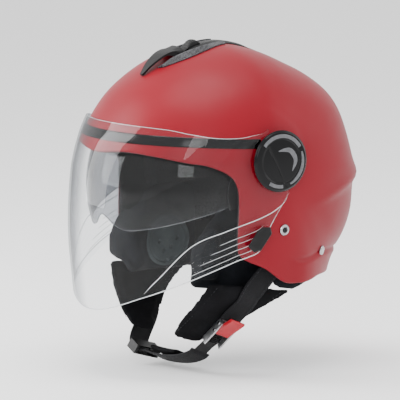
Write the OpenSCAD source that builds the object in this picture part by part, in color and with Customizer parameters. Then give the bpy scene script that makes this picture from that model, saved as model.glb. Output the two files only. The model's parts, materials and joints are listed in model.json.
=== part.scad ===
// Open-face motorcycle helmet with a long clear visor, an inner sun visor and a chin strap.
// Frame: front is -Y, the wearer's left is +X, up is +Z. The origin lies on the visor's
// turning axis, in the plane of symmetry.

/* [Shell] */
// Half width of the hard shell
shell_half_w = 116; // [115:0.5:117]
// Wall thickness of the hard shell
shell_t = 3.5; // [3:0.1:4]
// Exponent of the shell's cross sections, 2 is an ellipse
shell_power = 2.1; // [2:0.05:2.2]

/* [Head room] */
// Half width of the space for the head
head_half_w = 76; // [74:0.5:78]
// Half length of the space for the head
head_half_l = 98; // [95:0.5:100]
// Thickness of the comfort padding
pad_t = 7.6; // [6:0.2:8]

/* [Visor] */
// Half width of the clear visor
visor_half_w = 122.5; // [122.5:0.1:123]
// Thickness of the clear visor
visor_t = 2; // [1.6:0.1:2.2]
// Radius of the round cover over each visor pivot
cover_r = 30; // [28:0.5:31]
// Radius of the hub that the visor turns on
hub_r = 8; // [7:0.5:9]

/* [Sun visor] */
// Radius of the sun visor about its own axis, in the plane of symmetry
sun_r = 119; // [117:0.5:120]
// Half width of the surface that the sun visor is part of
sun_half_w = 104; // [103:0.5:105]
// Thickness of the sun visor
sun_t = 2; // [1.6:0.1:2.2]

/* [Chin strap] */
// Width of the webbing
strap_w = 22; // [20:1:24]
// Thickness of the webbing
strap_t = 1.6; // [1.4:0.1:1.8]

/* [Hidden] */

shell_red = "#c8102e";
soft_black = "#1c1c20";
gloss_black = "#08080a";
liner_grey = "#4a4f52";
steel = "#b9bcc0";

// Outline of the shell in the plane of symmetry, [y, z], from the chin side round the
// front, crown and nape. The low points lie outside the shell and steer its side walls.
outline = [[0, -370], [-132, -291], [-134, -96], [-133, -37], [-136, 0], [-125, 25],
           [-116, 39], [-103, 55.5], [-75, 78], [-48, 92], [-22, 99.6], [5, 103],
           [32, 97.5], [66, 84], [92, 71], [115.5, 53], [127, 36], [135, 15.5], [143, -12],
           [147.5, -26], [146.8, -47], [142.8, -71], [128, -101], [114.5, -118],
           [106, -141], [97, -175], [79, -258], [46, -327], [0, -370]];
// Half of the shell's rim, from the brow to the nape
rim_half = [[0, -136.6, 6.7], [43, -127.4, 10], [72, -107.8, 6.7], [92.8, -83.4, 1],
            [101.7, -67.7, -2], [110, -46.4, -13], [112, -39, -28], [112, -39, -86],
            [110, -33, -92], [113, -7, -107], [110, 17, -122], [105, 37, -124],
            [88, 66, -120], [44, 102, -119], [0, 114.5, -119]];
// Direction in which the rows of every dome-like layer start
pole = [0, 0.57, 0.822];
rim_columns = 84;

head_c = [0, 8, -30];
head_half_h = 98;

// Outline of the visor in the plane of symmetry, [z, distance in front of the axis]
visor_front = [[-150, 140], [-124, 143], [-90, 147], [-55, 147.5], [-17.5, 144],
               [0, 139.5], [11, 135.5], [20, 131.5], [34, 123]];
// Edges of the visor, [distance in front of the axis, z]
visor_low = [[-12, -31], [9, -63], [19, -85], [32, -92], [42, -95], [80, -112], [119, -132],
             [134, -143], [140, -149]];
visor_high = [[-12, -14], [9.4, -13], [11, 26], [21, 27.5], [42, 24.5], [66, 24.5], [93, 28.5],
              [108, 31.5], [124, 33], [140, 34]];

sun_c = [0, -9.7, -33.5];
slider_c = [0, 1.2, 22.3];
slider_r = 83;
// Radii between which the slider's slot is cut
slot_r = [68, 95];
// The crown vent's two inlets through the shell: y, distance from the middle, radius
inlet = [-58, 7, 4];
anchor_yz = [11, -69];
stud_yz = [70, -97];
hub_x = 117.15;
cover_x = 123.6;
// Rubber edge: gap to the wall, depth and width
trim_gap = 0.9;
// Gap between the shell and the layers on it
skin_low = 0.15;
trim_t = 3;
trim_w = 6;

// --- General functions -------------------------------------------------------------

function unit(v) = v / norm(v);
function mix(a, b, f) = a + (b - a) * f;
function sum(list) = list * [for (x = list) 1];
function smooth(lo, hi, x) = let (f = min(1, max(0, (x - lo) / (hi - lo)))) f * f * (3 - 2 * f);
function slerp(a, b, f) =
    let (w = acos(min(1, max(-1, a * b)))) (a * sin(w * (1 - f)) + b * sin(w * f)) / sin(w);
function reversed(list) = [for (i = [len(list) - 1:-1:0]) list[i]];
// The last span whose start is not past x
function span_of(keys, x) =
    let (found = [for (i = [0:len(keys) - 2]) if (keys[i] <= x) i]) len(found) == 0 ? 0
    : found[len(found) - 1];
// Smooth curve through values at keys: [value, slope]
function curve(keys, values, slopes, x) =
    let (i = span_of(keys, x), h = keys[i + 1] - keys[i], f = (x - keys[i]) / h,
         a = values[i], b = values[i + 1], m = slopes[i] * h, n = slopes[i + 1] * h)
    [(2 * f * f * f - 3 * f * f + 1) * a + (f * f * f - 2 * f * f + f) * m
     + (3 * f * f - 2 * f * f * f) * b + (f * f * f - f * f) * n,
     ((6 * f * f - 6 * f) * (a - b) + (3 * f * f - 4 * f + 1) * m
      + (3 * f * f - 2 * f) * n) / h];
function slopes_of(keys, values) =
    let (n = len(keys))
    [for (i = [0:n - 1])
        let (lo = max(0, i - 1), hi = min(n - 1, i + 1))
        (values[hi] - values[lo]) / (keys[hi] - keys[lo])];
function through(points, x) =
    let (keys = [for (p = points) p[0]], values = [for (p = points) p[1]])
    curve(keys, values, slopes_of(keys, values), min(max(x, keys[0]), keys[len(keys) - 1]))[0];
// A smooth path through 3-D points, at n + 1 even steps
function lengths_along(pts, i = 0, so_far = [0]) =
    i == len(pts) - 1 ? so_far
    : lengths_along(pts, i + 1, concat(so_far, [so_far[i] + norm(pts[i + 1] - pts[i])]));
function path_of(pts, n) = with_keys(lengths_along(pts), pts, n);
function with_keys(keys, values, n) =
    let (s = slopes_of(keys, values), total = keys[len(keys) - 1])
    [for (i = [0:n]) curve(keys, values, s, total * i / n)[0]];

// --- Solids from points ------------------------------------------------------------

// A closed mesh whose faces may all be wound the wrong way round
module closed_mesh(points, faces) {
    six_volumes = sum([for (f = faces, k = [1:len(f) - 2])
        points[f[0]] * cross(points[f[k]], points[f[k + 1]])]);
    polyhedron(points, six_volumes > 0 ? [for (f = faces) reversed(f)] : faces);
}

// The solid between two grids of points with the same rows and columns
module sheet_solid(top, under) {
    rows = len(top);
    cols = len(top[0]);
    n = rows * cols;
    points = concat([for (r = top) each r], [for (r = under) each r]);
    function at(i, j) = i * cols + j;
    closed_mesh(points, concat(
        [for (i = [0:rows - 2], j = [0:cols - 2])
            each [[at(i, j), at(i, j + 1), at(i + 1, j + 1)], [at(i, j), at(i + 1, j + 1), at(i + 1, j)]]],
        [for (i = [0:rows - 2], j = [0:cols - 2])
            each [[n + at(i, j), n + at(i + 1, j + 1), n + at(i, j + 1)],
                  [n + at(i, j), n + at(i + 1, j), n + at(i + 1, j + 1)]]],
        [for (j = [0:cols - 2]) [at(0, j), n + at(0, j), n + at(0, j + 1), at(0, j + 1)]],
        [for (j = [0:cols - 2])
            [at(rows - 1, j), at(rows - 1, j + 1), n + at(rows - 1, j + 1), n + at(rows - 1, j)]],
        [for (i = [0:rows - 2]) [at(i, 0), at(i + 1, 0), n + at(i + 1, 0), n + at(i, 0)]],
        [for (i = [0:rows - 2])
            [at(i, cols - 1), n + at(i, cols - 1), n + at(i + 1, cols - 1), at(i + 1, cols - 1)]]));
}

// The solid along a row of rings, each a closed loop of points; an endless row has no caps
module ring_solid(rings, endless = false) {
    n = len(rings);
    m = len(rings[0]);
    points = [for (r = rings) each r];
    sides = [for (i = [0:n - (endless ? 1 : 2)], j = [0:m - 1])
        let (a = i * m, b = (i + 1) % n * m, k = (j + 1) % m)
        each [[a + j, b + j, b + k], [a + j, b + k, a + k]]];
    caps = endless ? [] : [[for (j = [0:m - 1]) j], [for (j = [m - 1:-1:0]) (n - 1) * m + j]];
    closed_mesh(points, concat(sides, caps));
}

// The solid between two domes; each is [top point, rows of closed rings]
module dome_solid(outer, inner) {
    rows = len(outer[1]);
    m = len(outer[1][0]);
    n = rows * m;
    points = concat([for (r = outer[1]) each r], [for (r = inner[1]) each r], [outer[0], inner[0]]);
    closed_mesh(points, concat(
        [for (i = [0:rows - 2], j = [0:m - 1])
            let (a = i * m, b = a + m, k = (j + 1) % m)
            each [[a + j, b + j, b + k], [a + j, b + k, a + k]]],
        [for (i = [0:rows - 2], j = [0:m - 1])
            let (a = n + i * m, b = a + m, k = (j + 1) % m)
            each [[a + j, b + k, b + j], [a + j, a + k, b + k]]],
        [for (j = [0:m - 1]) [2 * n, j, (j + 1) % m]],
        [for (j = [0:m - 1]) [2 * n + 1, n + (j + 1) % m, n + j]],
        [for (j = [0:m - 1])
            let (a = n - m, b = 2 * n - m, k = (j + 1) % m) each
            [[a + j, b + j, b + k], [a + j, b + k, a + k]]]));
}

// Cuts holes in a solid made of flat faces
module cut_mesh() {
    resize([0, 0, 0]) difference() {
        children(0);
        children([1:$children - 1]);
    }
}

// A copy for each side of the helmet
module on_side(side) {
    mirror([side < 0 ? 1 : 0, 0, 0]) children();
}

module both_sides() {
    for (side = [1, -1]) on_side(side) children();
}

// Turns +Z to a direction and moves the origin to a point
module facing(point, dir) {
    translate(point) rotate([0, acos(dir.z), atan2(dir.y, dir.x)]) children();
}

// Solid along +X from x0 to x1, drawn as a round disc
module disc_x(x0, x1, r, yz = [0, 0]) {
    translate([x0, yz[0], yz[1]]) rotate([0, 90, 0]) cylinder(h = x1 - x0, r = r, $fn = 96);
}

// --- The shell's surface -----------------------------------------------------------

// Angle about the X axis, from the front upwards, from -90 to 270
function turn_of(y, z) = let (a = atan2(z, -y)) a < -90 ? a + 360 : a;
outline_keys = [for (i = [0:len(outline) - 1])
    i == 0 ? -90 : i == len(outline) - 1 ? 270 : turn_of(outline[i][0], outline[i][1])];
outline_radii = [for (p = outline) norm(p)];
outline_slopes = slopes_of(outline_keys, outline_radii);
function profile(a) = curve(outline_keys, outline_radii, outline_slopes, a);

// 1 on the shell, less inside, more outside
function shell_level(p) =
    let (q = norm([p.y, p.z]))
    pow(abs(p.x) / shell_half_w, shell_power) + pow(q / profile(turn_of(p.y, p.z))[0], shell_power);
function shell_normal(p) =
    let (q = max(0.01, norm([p.y, p.z])), a = turn_of(p.y, p.z), f = profile(a), e = shell_power,
         gx = sign(p.x) * pow(abs(p.x), e - 1) / pow(shell_half_w, e),
         gq = pow(q, e - 1) / pow(f[0], e),
         ga = -pow(q, e - 1) / pow(f[0], e + 1) * f[1] * 180 / PI)
    unit([gx, -gq * cos(a) + ga * sin(a), gq * sin(a) + ga * cos(a)]);
function along(d, level, lo, hi, steps) =
    steps == 0 ? (lo + hi) / 2
    : let (mid = (lo + hi) / 2) level(mid) > 1 ? along(d, level, lo, mid, steps - 1)
      : along(d, level, mid, hi, steps - 1);
// The shell's point that a ray from a point inside it meets, moved out by off
function shell_hit(from, d, off) =
    let (p = from + d * along(d, function (t) shell_level(from + d * t), 0, 400, 22))
    p + off * shell_normal(p);
function shell_ray(d, off) =
    let (p = d * pow(shell_level(d), -1 / shell_power)) p + off * shell_normal(p);

// --- The rim ------------------------------------------------------------------------

function flip_x(p) = [-p.x, p.y, p.z];
rim_loop = concat(rim_half, [for (i = [len(rim_half) - 2:-1:1]) flip_x(rim_half[i])]);
// The loop closed past both ends, so that it is smooth at the brow
rim_long = concat([flip_x(rim_half[1])], rim_loop, [rim_half[0], rim_half[1]]);
rim_keys = lengths_along(rim_long);
rim_slopes = slopes_of(rim_keys, rim_long);
function rim_at(j) =
    let (lo = rim_keys[1], hi = rim_keys[len(rim_keys) - 2])
    curve(rim_keys, rim_long, rim_slopes, lo + (hi - lo) * j / rim_columns)[0];
function rim_dir(j) = unit(rim_at(j));
function rim_point(j, off = 0) = shell_ray(rim_dir(j), off);
// Along the surface, from the pole out over the rim
function rim_out(j) =
    let (n = shell_normal(rim_point(j)), s = unit(rim_point(j + 0.5) - rim_point(j - 0.5)),
         t = cross(n, s))
    t * (slerp(pole, rim_dir(j), 1.02) - rim_dir(j)) > 0 ? t : -t;

// A dome of rows from the pole towards the rim, its points given by a function of direction
function dome(place, rows, reach, step = 1) =
    [place(pole), [for (k = [1:rows]) [for (j = [0:step:rim_columns - 1])
        place(slerp(pole, rim_dir(j), reach * k / rows))]]];

// --- The head room and the foam -----------------------------------------------------

// 1 on the head's surface, grown by more. Below its widest height it is a straight tube.
function head_level(p, more) =
    pow(p.x / (head_half_w + more), 2) + pow((p.y - head_c.y) / (head_half_l + more), 2)
    + pow(max(0, p.z - head_c.z) / (head_half_h + more), 2);
function head_ray(d, more) = d * along(d, function (t) head_level(d * t, more), 0, 400, 22);
function head_x(y, more) =
    (head_half_w + more) * sqrt(max(0, 1 - pow((y - head_c.y) / (head_half_l + more), 2)));

// 1 on the surface that the sun visor sweeps, with room for the visor and its arms
function sweep_level(p) =
    pow(p.x / (sun_half_w - 6.5), 2)
    + (pow(p.y - sun_c.y, 2) + pow(p.z - sun_c.z, 2)) / pow(sun_r - 4.5, 2);
foam_gap = 1;
function foam_outer(d) =
    let (p = shell_ray(d, -shell_t - foam_gap), u = unit(p), whole = norm(p),
         limit = along(u, function (t) sweep_level(u * t), 0, 400, 22),
         inner = norm(head_ray(u, pad_t + 0.4)),
         cut = max(inner + 4, min(whole, limit)))
    u * mix(cut, whole, smooth(20, 45, p.y));

// --- Shell and padding ---------------------------------------------------------------

module outer_shell() {
    color(shell_red) cut_mesh() {
        dome_solid(dome(function (d) shell_ray(d, 0), 12, 1),
                   dome(function (d) shell_ray(d, -shell_t), 12, 1));
        both_sides() anchor_place() translate([0, 0, -10]) cylinder(h = 20, r = 3.3, $fn = 24);
        both_sides() stud_place() translate([0, 0, -10]) cylinder(h = 20, r = 2.3, $fn = 24);
        slider_slot(3);
        for (side = [-1, 1]) translate([side * inlet[1], inlet[0], 40])
            cylinder(h = 60, r = inlet[2], $fn = 24);
    }
}

// Slot along the crown for the slider's stem
module slider_slot(half_w) {
    translate([-half_w, slider_c.y, slider_c.z]) rotate([90, 0, 90])
        linear_extrude(2 * half_w)
            polygon(concat([for (a = [-26:4:34]) slot_r[1] * [sin(a), cos(a)]],
                           [for (a = [34:-4:-26]) slot_r[0] * [sin(a), cos(a)]]));
}

module rim_trim() {
    color(soft_black) ring_solid([for (j = [0:rim_columns - 1])
        let (p = rim_point(j), n = shell_normal(p), t = rim_out(j))
        [p - n * (shell_t + trim_gap) - t * trim_w, p - n * (shell_t + trim_gap) + t * 0.4,
         p - n * (shell_t + trim_t) + t * 0.4, p - n * (shell_t + trim_t) - t * trim_w]],
        endless = true);
}

module impact_liner() {
    color(liner_grey) dome_solid(dome(function (d) foam_outer(d), 9, 0.9, 2),
                                 dome(function (d) head_ray(d, pad_t + 0.4), 9, 0.9, 2));
}

module crown_pad() {
    color(soft_black) dome_solid(dome(function (d) head_ray(d, pad_t - 0.5), 6, 0.66, 2),
                                 dome(function (d) head_ray(d, 0), 6, 0.66, 2));
}

// A cheek pad on the tube below the head; its front edge slants back towards the top
module cheek_pad() {
    rows = 9;
    cols = 10;
    z_lim = [-132, -42];
    in_by = 12;
    out_by = pad_t - 0.6;
    front_x = 90;
    function at(i, j, deep) =
        let (u = i / rows * 2 - 1, v = j / cols * 2 - 1, z = mix(z_lim[0], z_lim[1], j / cols),
             y = mix(-66 + 30 * smooth(-95, -40, z), 28, i / rows),
             // in front of the shell's rim the pad swells out to the shell's width
             wall = head_x(y, out_by),
             swell = smooth(-112, -98, z) * (1 - smooth(-52, -36, y)),
             outer = mix(wall, max(wall, front_x), swell),
             inner = wall - in_by - out_by,
             full = sqrt(max(0.04, (1 - pow(u, 4)) * (1 - pow(v, 4)))))
        [mix(outer, inner, deep * full), y, z];
    color(soft_black)
        sheet_solid([for (i = [0:rows]) [for (j = [0:cols]) at(i, j, 0)]],
                    [for (i = [0:rows]) [for (j = [0:cols]) at(i, j, 1)]]);
}

module ear_pocket() {
    rings = 4;
    spokes = 20;
    mid = [-16, -98];
    half = [29, 26];
    at = function (i, j, in_by)
        let (f = i / rings, y = mid[0] + half[0] * f * cos(360 * j / spokes),
             z = mid[1] + half[1] * f * sin(360 * j / spokes))
        [head_x(y, -12.6 - in_by * (1 - 0.75 * pow(f, 4))), y, z];
    color(liner_grey) closed_fan(at, rings, spokes);
}

// A round patch with an outer and an inner face, both given by one function
module closed_fan(at, rings, spokes) {
    top_rows = [for (i = [1:rings]) [for (j = [0:spokes - 1]) at(i, j, 0)]];
    under_rows = [for (i = [1:rings]) [for (j = [0:spokes - 1]) at(i, j, 3.5)]];
    dome_solid([at(0, 0, 0), top_rows], [at(0, 0, 3.5), under_rows]);
}

module neck_roll() {
    from = 27;
    to = rim_columns - from;
    color(soft_black) ring_solid([for (j = [from:to])
        let (p = rim_point(j), n = unit([p.x, p.y, 0]), end = min(j - from, to - j),
             size = min(1, 0.55 + 0.15 * end), mid = p - n * 17 + [0, 0, -1])
        [for (a = [0:45:315]) mid + size * (n * 8.5 * cos(a) + [0, 0, 11 * sin(a)])]]);
}

// --- Outside trim ----------------------------------------------------------------------

// A layer on the shell: for (i, j), place gives a point of the surface, the height of the
// layer's top there and, if it stands clear of the shell, of its underside
module skin(place, rows, cols) {
    spots = [for (i = [0:rows]) [for (j = [0:cols]) place(i / rows, j / cols)]];
    sheet_solid([for (r = spots) [for (s = r) s[0] + shell_normal(s[0]) * s[1]]],
                [for (r = spots) [for (s = r)
                    s[0] + shell_normal(s[0]) * (len(s) > 2 ? s[2] : skin_low)]]);
}

module brow_strip() {
    half_turn = 76;
    place = function (u, v)
        let (a = mix(-half_turn, half_turn, u), z = 18.5 + 3 * pow(cos(a), 2) - 2 * pow(sin(a), 8))
        [shell_hit([0, 0, z + mix(-4.6, 4.6, v)], [sin(a), -cos(a), 0], 0), 0.8];
    color(gloss_black) skin(place, 44, 2);
}

spine_w = [[-80, 2.5], [-66, 7], [-50, 10.5], [-30, 12.5], [-10, 12.5], [20, 9.5], [50, 3]];
spine_h = [[-80, 2.8], [-70, 6.2], [-57, 8.4], [-46, 7.8], [-38, 7.5]];
// Height of the spine's top over the shell at a point of the plane of symmetry
function spine_top(p) =
    p.y < -38 ? through(spine_h, p.y)
    : min(slider_r - norm([p.y - slider_c.y, p.z - slider_c.z]), mix(4, 0.6, smooth(36, 50, p.y)));

module vent_spine() {
    place = function (u, v)
        let (y = mix(-80, 50, u), s = v * 2 - 1, mid = shell_hit([0, y, 0], [0, 0, 1], 0),
             p = shell_hit([s * through(spine_w, y), y, 0], [0, 0, 1], 0))
        let (top = max(0.6, spine_top(mid) * (1 - 0.7 * pow(s, 6) * smooth(-50, -40, y))))
        [p, top, mix(top - 2, skin_low, smooth(-55, -44, y))];
    color(soft_black) cut_mesh() {
        skin(place, 26, 8);
        slider_slot(2.5);
    }
}

wing_edge = [[-62, 15.5], [-52, 21], [-38, 24.5], [-20, 22.5], [-4, 18], [6, 14.6]];
module vent_wing() {
    place = function (u, v)
        let (y = mix(-62, 6, u), inner = through(spine_w, y) + 0.5, outer = through(wing_edge, y))
        [shell_hit([mix(inner, max(inner + 0.8, outer), v), y, 0], [0, 0, 1], 0),
         1 + 1.8 * (1 - v) * smooth(-62, -50, y)];
    color("#33363a") skin(place, 14, 4);
}

// --- Visor pivots ----------------------------------------------------------------------

module pivot_base() {
    color(soft_black) difference() {
        union() {
            disc_x(116.1, hub_x, 24);
            disc_x(hub_x, 121.4, hub_r);
        }
        disc_x(116, 122, 4.05);
    }
}

module pivot_cover() {
    color(gloss_black) difference() {
        union() {
            disc_x(116.4, 121.5, 4);
            disc_x(121.5, cover_x + 0.1, 6.5);
            translate([cover_x, 0, 0]) rotate([0, 90, 0]) rotate_extrude($fn = 128)
                polygon([[0, 0], [cover_r, 0], [cover_r, 1.2], [cover_r - 1, 2.4],
                         [cover_r - 3, 3], [0, 3.2]]);
        }
        inlay_marks(0);
    }
}

// Two curved bands near the cover's edge, and a broad curved mark inside them
module inlay_marks(less) {
    deep = cover_x + 2.4;
    translate([deep, 0, 0]) rotate([0, 90, 0]) {
        for (arc = [[152, 116], [28, 62], [272, 44]])
            rotate([0, 0, arc[0]]) rotate_extrude(angle = arc[1], $fn = 128)
                translate([22.8 + less, 0]) square([4 - 2 * less, 2 - less]);
        linear_extrude(2 - less)
            polygon([for (f = [0:0.1:1]) mark_point(f, 1 - less)],
                    [[for (i = [0:10]) i]]);
    }
}

// The broad mark's outline: out along one side and back along the other
function mark_point(f, grow) =
    let (up = f < 0.5, g = up ? f * 2 : (1 - f) * 2, a = mix(-58, 58, g),
         wide = 4.6 * cos(a) * grow, r = 13 + (up ? wide : -wide) / 2)
    [r * -sin(a), r * cos(a) - 1];

module pivot_inlay() {
    color("#8c8f94") inlay_marks(0.05);
}

// --- Rivets and studs -------------------------------------------------------------------

function side_point(yz) = shell_hit([0, yz[0], yz[1]], [1, 0, 0], 0);
module anchor_place() {
    p = side_point(anchor_yz);
    facing(p, shell_normal(p)) children();
}

module stud_place() {
    p = side_point(stud_yz);
    facing(p, shell_normal(p)) children();
}

module strap_anchors() {
    color(steel) both_sides() anchor_place() rotate_extrude($fn = 48)
        polygon([[0, -6], [3.1, -6], [3.1, 0.3], [5.4, 0.3], [5.4, 1], [4.8, 1.6], [3.2, 1.6],
                 [2.8, 0.9], [0, 0.7]]);
}

module rear_studs() {
    color(steel) both_sides() stud_place() rotate_extrude($fn = 48)
        polygon([[0, -5], [2.1, -5], [2.1, 0.3], [5, 0.3], [5, 0.9], [4.2, 1.6], [2.5, 2.1],
                 [0, 2.3]]);
}

module sun_pivot_pins() {
    color(soft_black) both_sides() {
        disc_x(99.4, 102.7, 3, [sun_c.y, sun_c.z]);
        disc_x(102.6, 109.5, 7, [sun_c.y, sun_c.z]);
    }
}

// --- Chin strap ------------------------------------------------------------------------

// The padded side sleeve runs from under the rim to the buckle: its front and rear edges
sleeve_front = [[93, -62, -116], [80, -74, -142], [34, -74, -174]];
sleeve_rear = [[98, 34, -130], [88, -4, -152], [38, -40, -188]];
function bow(p, f) = p[0] * (1 - f) * (1 - f) + p[1] * 2 * f * (1 - f) + p[2] * f * f;
function sleeve_mid(u, v) = mix(bow(sleeve_front, v), bow(sleeve_rear, v), u);
function sleeve_normal(u, v) =
    unit(cross(sleeve_mid(u, v + 0.01) - sleeve_mid(u, v - 0.01),
               sleeve_mid(u + 0.01, v) - sleeve_mid(u - 0.01, v)));
function sleeve_at(u, v, side) =
    let (thick = 3.6 * sqrt(max(0.05, (1 - pow(2 * u - 1, 4)) * (1 - pow(2 * v - 1, 8)))))
    sleeve_mid(u, v) + sleeve_normal(u, v) * thick * side;

module strap_sleeve() {
    rows = 8;
    cols = 10;
    color(soft_black)
        sheet_solid([for (i = [0:rows]) [for (j = [0:cols]) sleeve_at(i / rows, j / cols, 1)]],
                    [for (i = [0:rows]) [for (j = [0:cols]) sleeve_at(i / rows, j / cols, -1)]]);
}

// A flat strap through points, each [point, direction across the strap]
module strap(points, across, steps, w = strap_w, t = strap_t) {
    path = path_of(points, steps);
    wide = with_keys(lengths_along(points), across, steps);
    color(soft_black) ring_solid([for (i = [0:steps])
        let (d = unit(path[min(i + 1, steps)] - path[max(i - 1, 0)]), n = unit(cross(d, wide[i])),
             a = unit(cross(n, d)) * w / 2, b = n * t / 2)
        [path[i] - a - b, path[i] + a - b, path[i] + a + b, path[i] - a + b]]);
}

// On the sleeve's outer face, from under the rim down to the buckle
function strap_side(end) = [for (v = [0.1:0.2:end])
    let (u = 0.5 + 0.4 * v) sleeve_mid(u, v) + outward(u, v) * 5.6];
function outward(u, v) = let (n = sleeve_normal(u, v)) n.x > 0 ? n : -n;

// Where the buckle sits, its run along the strap and its face
buckle_o = [66.5, -34.9, -173.4];
buckle_run = unit([0.66, 0.27, 0.7]);
buckle_face = unit(cross([0.108, 0.95, -0.3], buckle_run));
buckle_wide = cross(buckle_face, buckle_run);

module at_buckle() {
    multmatrix([for (k = [0:2])
        [buckle_run[k], buckle_wide[k], buckle_face[k], buckle_o[k]]]) children();
}

function buckle_spot(x, z) = buckle_o + buckle_run * x + buckle_face * z;

module chin_strap_left() {
    side = strap_side(0.4);
    points = concat([[104, 11, -74], [101, 9, -100]], side,
                    [buckle_spot(27, -1.2), buckle_spot(19, -0.2)]);
    strap(points, [for (i = [0:len(points) - 1]) i < 2 ? [0, 1, 0]
                   : i < len(points) - 2 ? [0.1, 0.95, -0.2] : buckle_wide], 18);
}

module chin_strap_right() {
    side = [for (p = strap_side(0.8)) flip_x(p)];
    points = concat([[-104, 11, -74], [-101, 9, -100]], side,
                    [[-48, -55, -197], [-24, -53, -204], [0, -51.5, -205], [18, -49.5, -203.5],
                     [31, -47, -201], [42.8, -43.6, -196.2]]);
    strap(points, [for (i = [0:len(points) - 1])
        i < 2 ? [0, 1, 0] : i > 6 ? [0, 0.9, -0.42] : [-0.1, 0.95, -0.2]], 24);
}

module chin_pad() {
    path = path_of([[-22, -50.5, -198.4], [-8, -49.6, -200], [6, -48.6, -200],
                    [20, -47.4, -198]], 10);
    wide = unit([0, 0.9, -0.42]);
    up = unit([0, 0.42, 0.9]);
    color(soft_black) ring_solid([for (i = [0:10])
        let (size = 0.75 + 0.25 * sin(18 * i))
        [for (a = [0:36:324]) path[i] + size * (13 * cos(a) * wide + 3.6 * sin(a) * up)]]);
}

module strap_adjuster() {
    translate([-39, -54.3, -200.3]) rotate([-17, 24, 0]) color(soft_black) difference() {
        cube([14, 31, 9.6], center = true);
        cube([20, 24.4, 7.4], center = true);
    }
}

module buckle_body() {
    color(steel) at_buckle() difference() {
        translate([-12, -9.5, -2.4]) cube([30, 19, 9]);
        translate([-13, -8, -1]) cube([32, 16, 9]);
        for (x = [6, 14]) translate([x, -20, x == 6 ? 3.6 : 1.5]) rotate([-90, 0, 0])
            cylinder(h = 40, r = 1.5, $fn = 32);
    }
}

module buckle_pins() {
    color(steel) at_buckle() for (x = [6, 14])
        translate([x, -10.2, x == 6 ? 3.6 : 1.5]) rotate([-90, 0, 0])
            cylinder(h = 20.4, r = 1.5, $fn = 32);
}

module buckle_lever() {
    color("#d81224") at_buckle() difference() {
        union() {
            rotate([90, 0, 0]) translate([0, 0, -7.7]) linear_extrude(15.4)
                polygon([[6, 0.6], [9, 2.2], [12, 3.8], [30, 9], [31.5, 12], [29, 12.4],
                         [12, 8], [6, 6.6]]);
            translate([6, -7.7, 3.6]) rotate([-90, 0, 0]) cylinder(h = 15.4, r = 3.2, $fn = 48);
        }
        translate([6, -20, 3.6]) rotate([-90, 0, 0]) cylinder(h = 40, r = 1.55, $fn = 32);
    }
}

module ratchet_tongue() {
    teeth = 9;
    color(soft_black) at_buckle() rotate([90, 0, 0]) translate([0, 0, -7])
        linear_extrude(14)
            polygon(concat([[-32, -2.4], [-13, -0.7], [2, -0.7], [2, 0.6]],
                [for (i = [teeth - 1:-1:0]) each [[-20 + 2.2 * i + 2, 1.4 - (i < 3 ? 1.6 - 0.5 * i : 0)],
                                                  [-20 + 2.2 * i, 0.6 - (i < 3 ? 1.2 - 0.4 * i : 0)]]],
                [[-32, -1]]));
}

// --- Visor -----------------------------------------------------------------------------

// Points over half of the visor: u from the middle to the rear edge, v from low to high
function visor_at(u, v, off) =
    let (turn = mix(0, 94.5, u), front = 140 * cos(turn),
         low = through(visor_low, front), high = through(visor_high, front),
         z = mix(low, high, v), f = through(visor_front, z) + off, w = visor_half_w + off)
    [w * sin(turn), -f * cos(turn), z];

module visor() {
    cols = 26;
    rows = 11;
    function row(v, off) = concat(
        [for (i = [cols:-1:1]) flip_x(visor_at(i / cols, v, off))],
        [for (i = [0:cols]) visor_at(i / cols, v, off)]);
    color("#dfe8ee", 0.35)
        sheet_solid([for (k = [0:rows]) row(k / rows, 0)], [for (k = [0:rows]) row(k / rows, -visor_t)]);
}

module visor_bracket() {
    color(gloss_black) difference() {
        disc_x(117.4, 118.8, 19);
        disc_x(117, 119, hub_r + 0.05);
    }
}

module visor_tab() {
    color(soft_black) translate([visor_half_w - 2.1, -21, 0]) rotate([0, 0, -8.5])
        rotate([90, 0, 90]) translate([21, 0, 1.5]) {
            linear_extrude(2.4)
                polygon([[-24.6, -66.6], [-18.7, -63], [-10.6, -63.6], [-9.4, -69.7], [-21, -85.6],
                         [-28.1, -87.1], [-34, -81.1]]);
            translate([0, 0, 2.3]) linear_extrude(2)
                polygon([[-20.5, -66], [-12.4, -66], [-11.5, -70], [-21.5, -83.6], [-26.5, -84]]);
        }
}

// --- Sun visor ---------------------------------------------------------------------------

// The nose arch lifts the lower edge in the middle
function sun_low(x) = 199.3 - 8 * exp(-pow(x / 17, 2));
function sun_high(x) = 153 - 25 * pow(x / 100, 2);
function sun_point(side, v, off) =
    let (x = sun_half_w * sin(side), turn = mix(sun_high(x), sun_low(x), v),
         q = (sun_r + off) * cos(side))
    [(sun_half_w + off) * sin(side), sun_c.y + q * cos(turn), sun_c.z + q * sin(turn)];

module sun_visor() {
    reach = 73.5;
    cols = 34;
    rows = 7;
    function grid(off) = [for (k = [0:rows]) [for (i = [0:cols])
        sun_point(mix(-reach, reach, i / cols), k / rows, off)]];
    color("#55585c", 0.6) sheet_solid(grid(0), grid(-sun_t));
}

module sun_arm() {
    color(soft_black) difference() {
        translate([100.3, sun_c.y, sun_c.z]) rotate([90, 0, 90]) linear_extrude(2) union() {
            circle(r = 9, $fn = 64);
            polygon(concat([for (a = [131:6:203]) 36 * [cos(a), sin(a)]], [[0, -8], [2, 8]]));
        }
        disc_x(100, 103, 3.05, [sun_c.y, sun_c.z]);
    }
}

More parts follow.
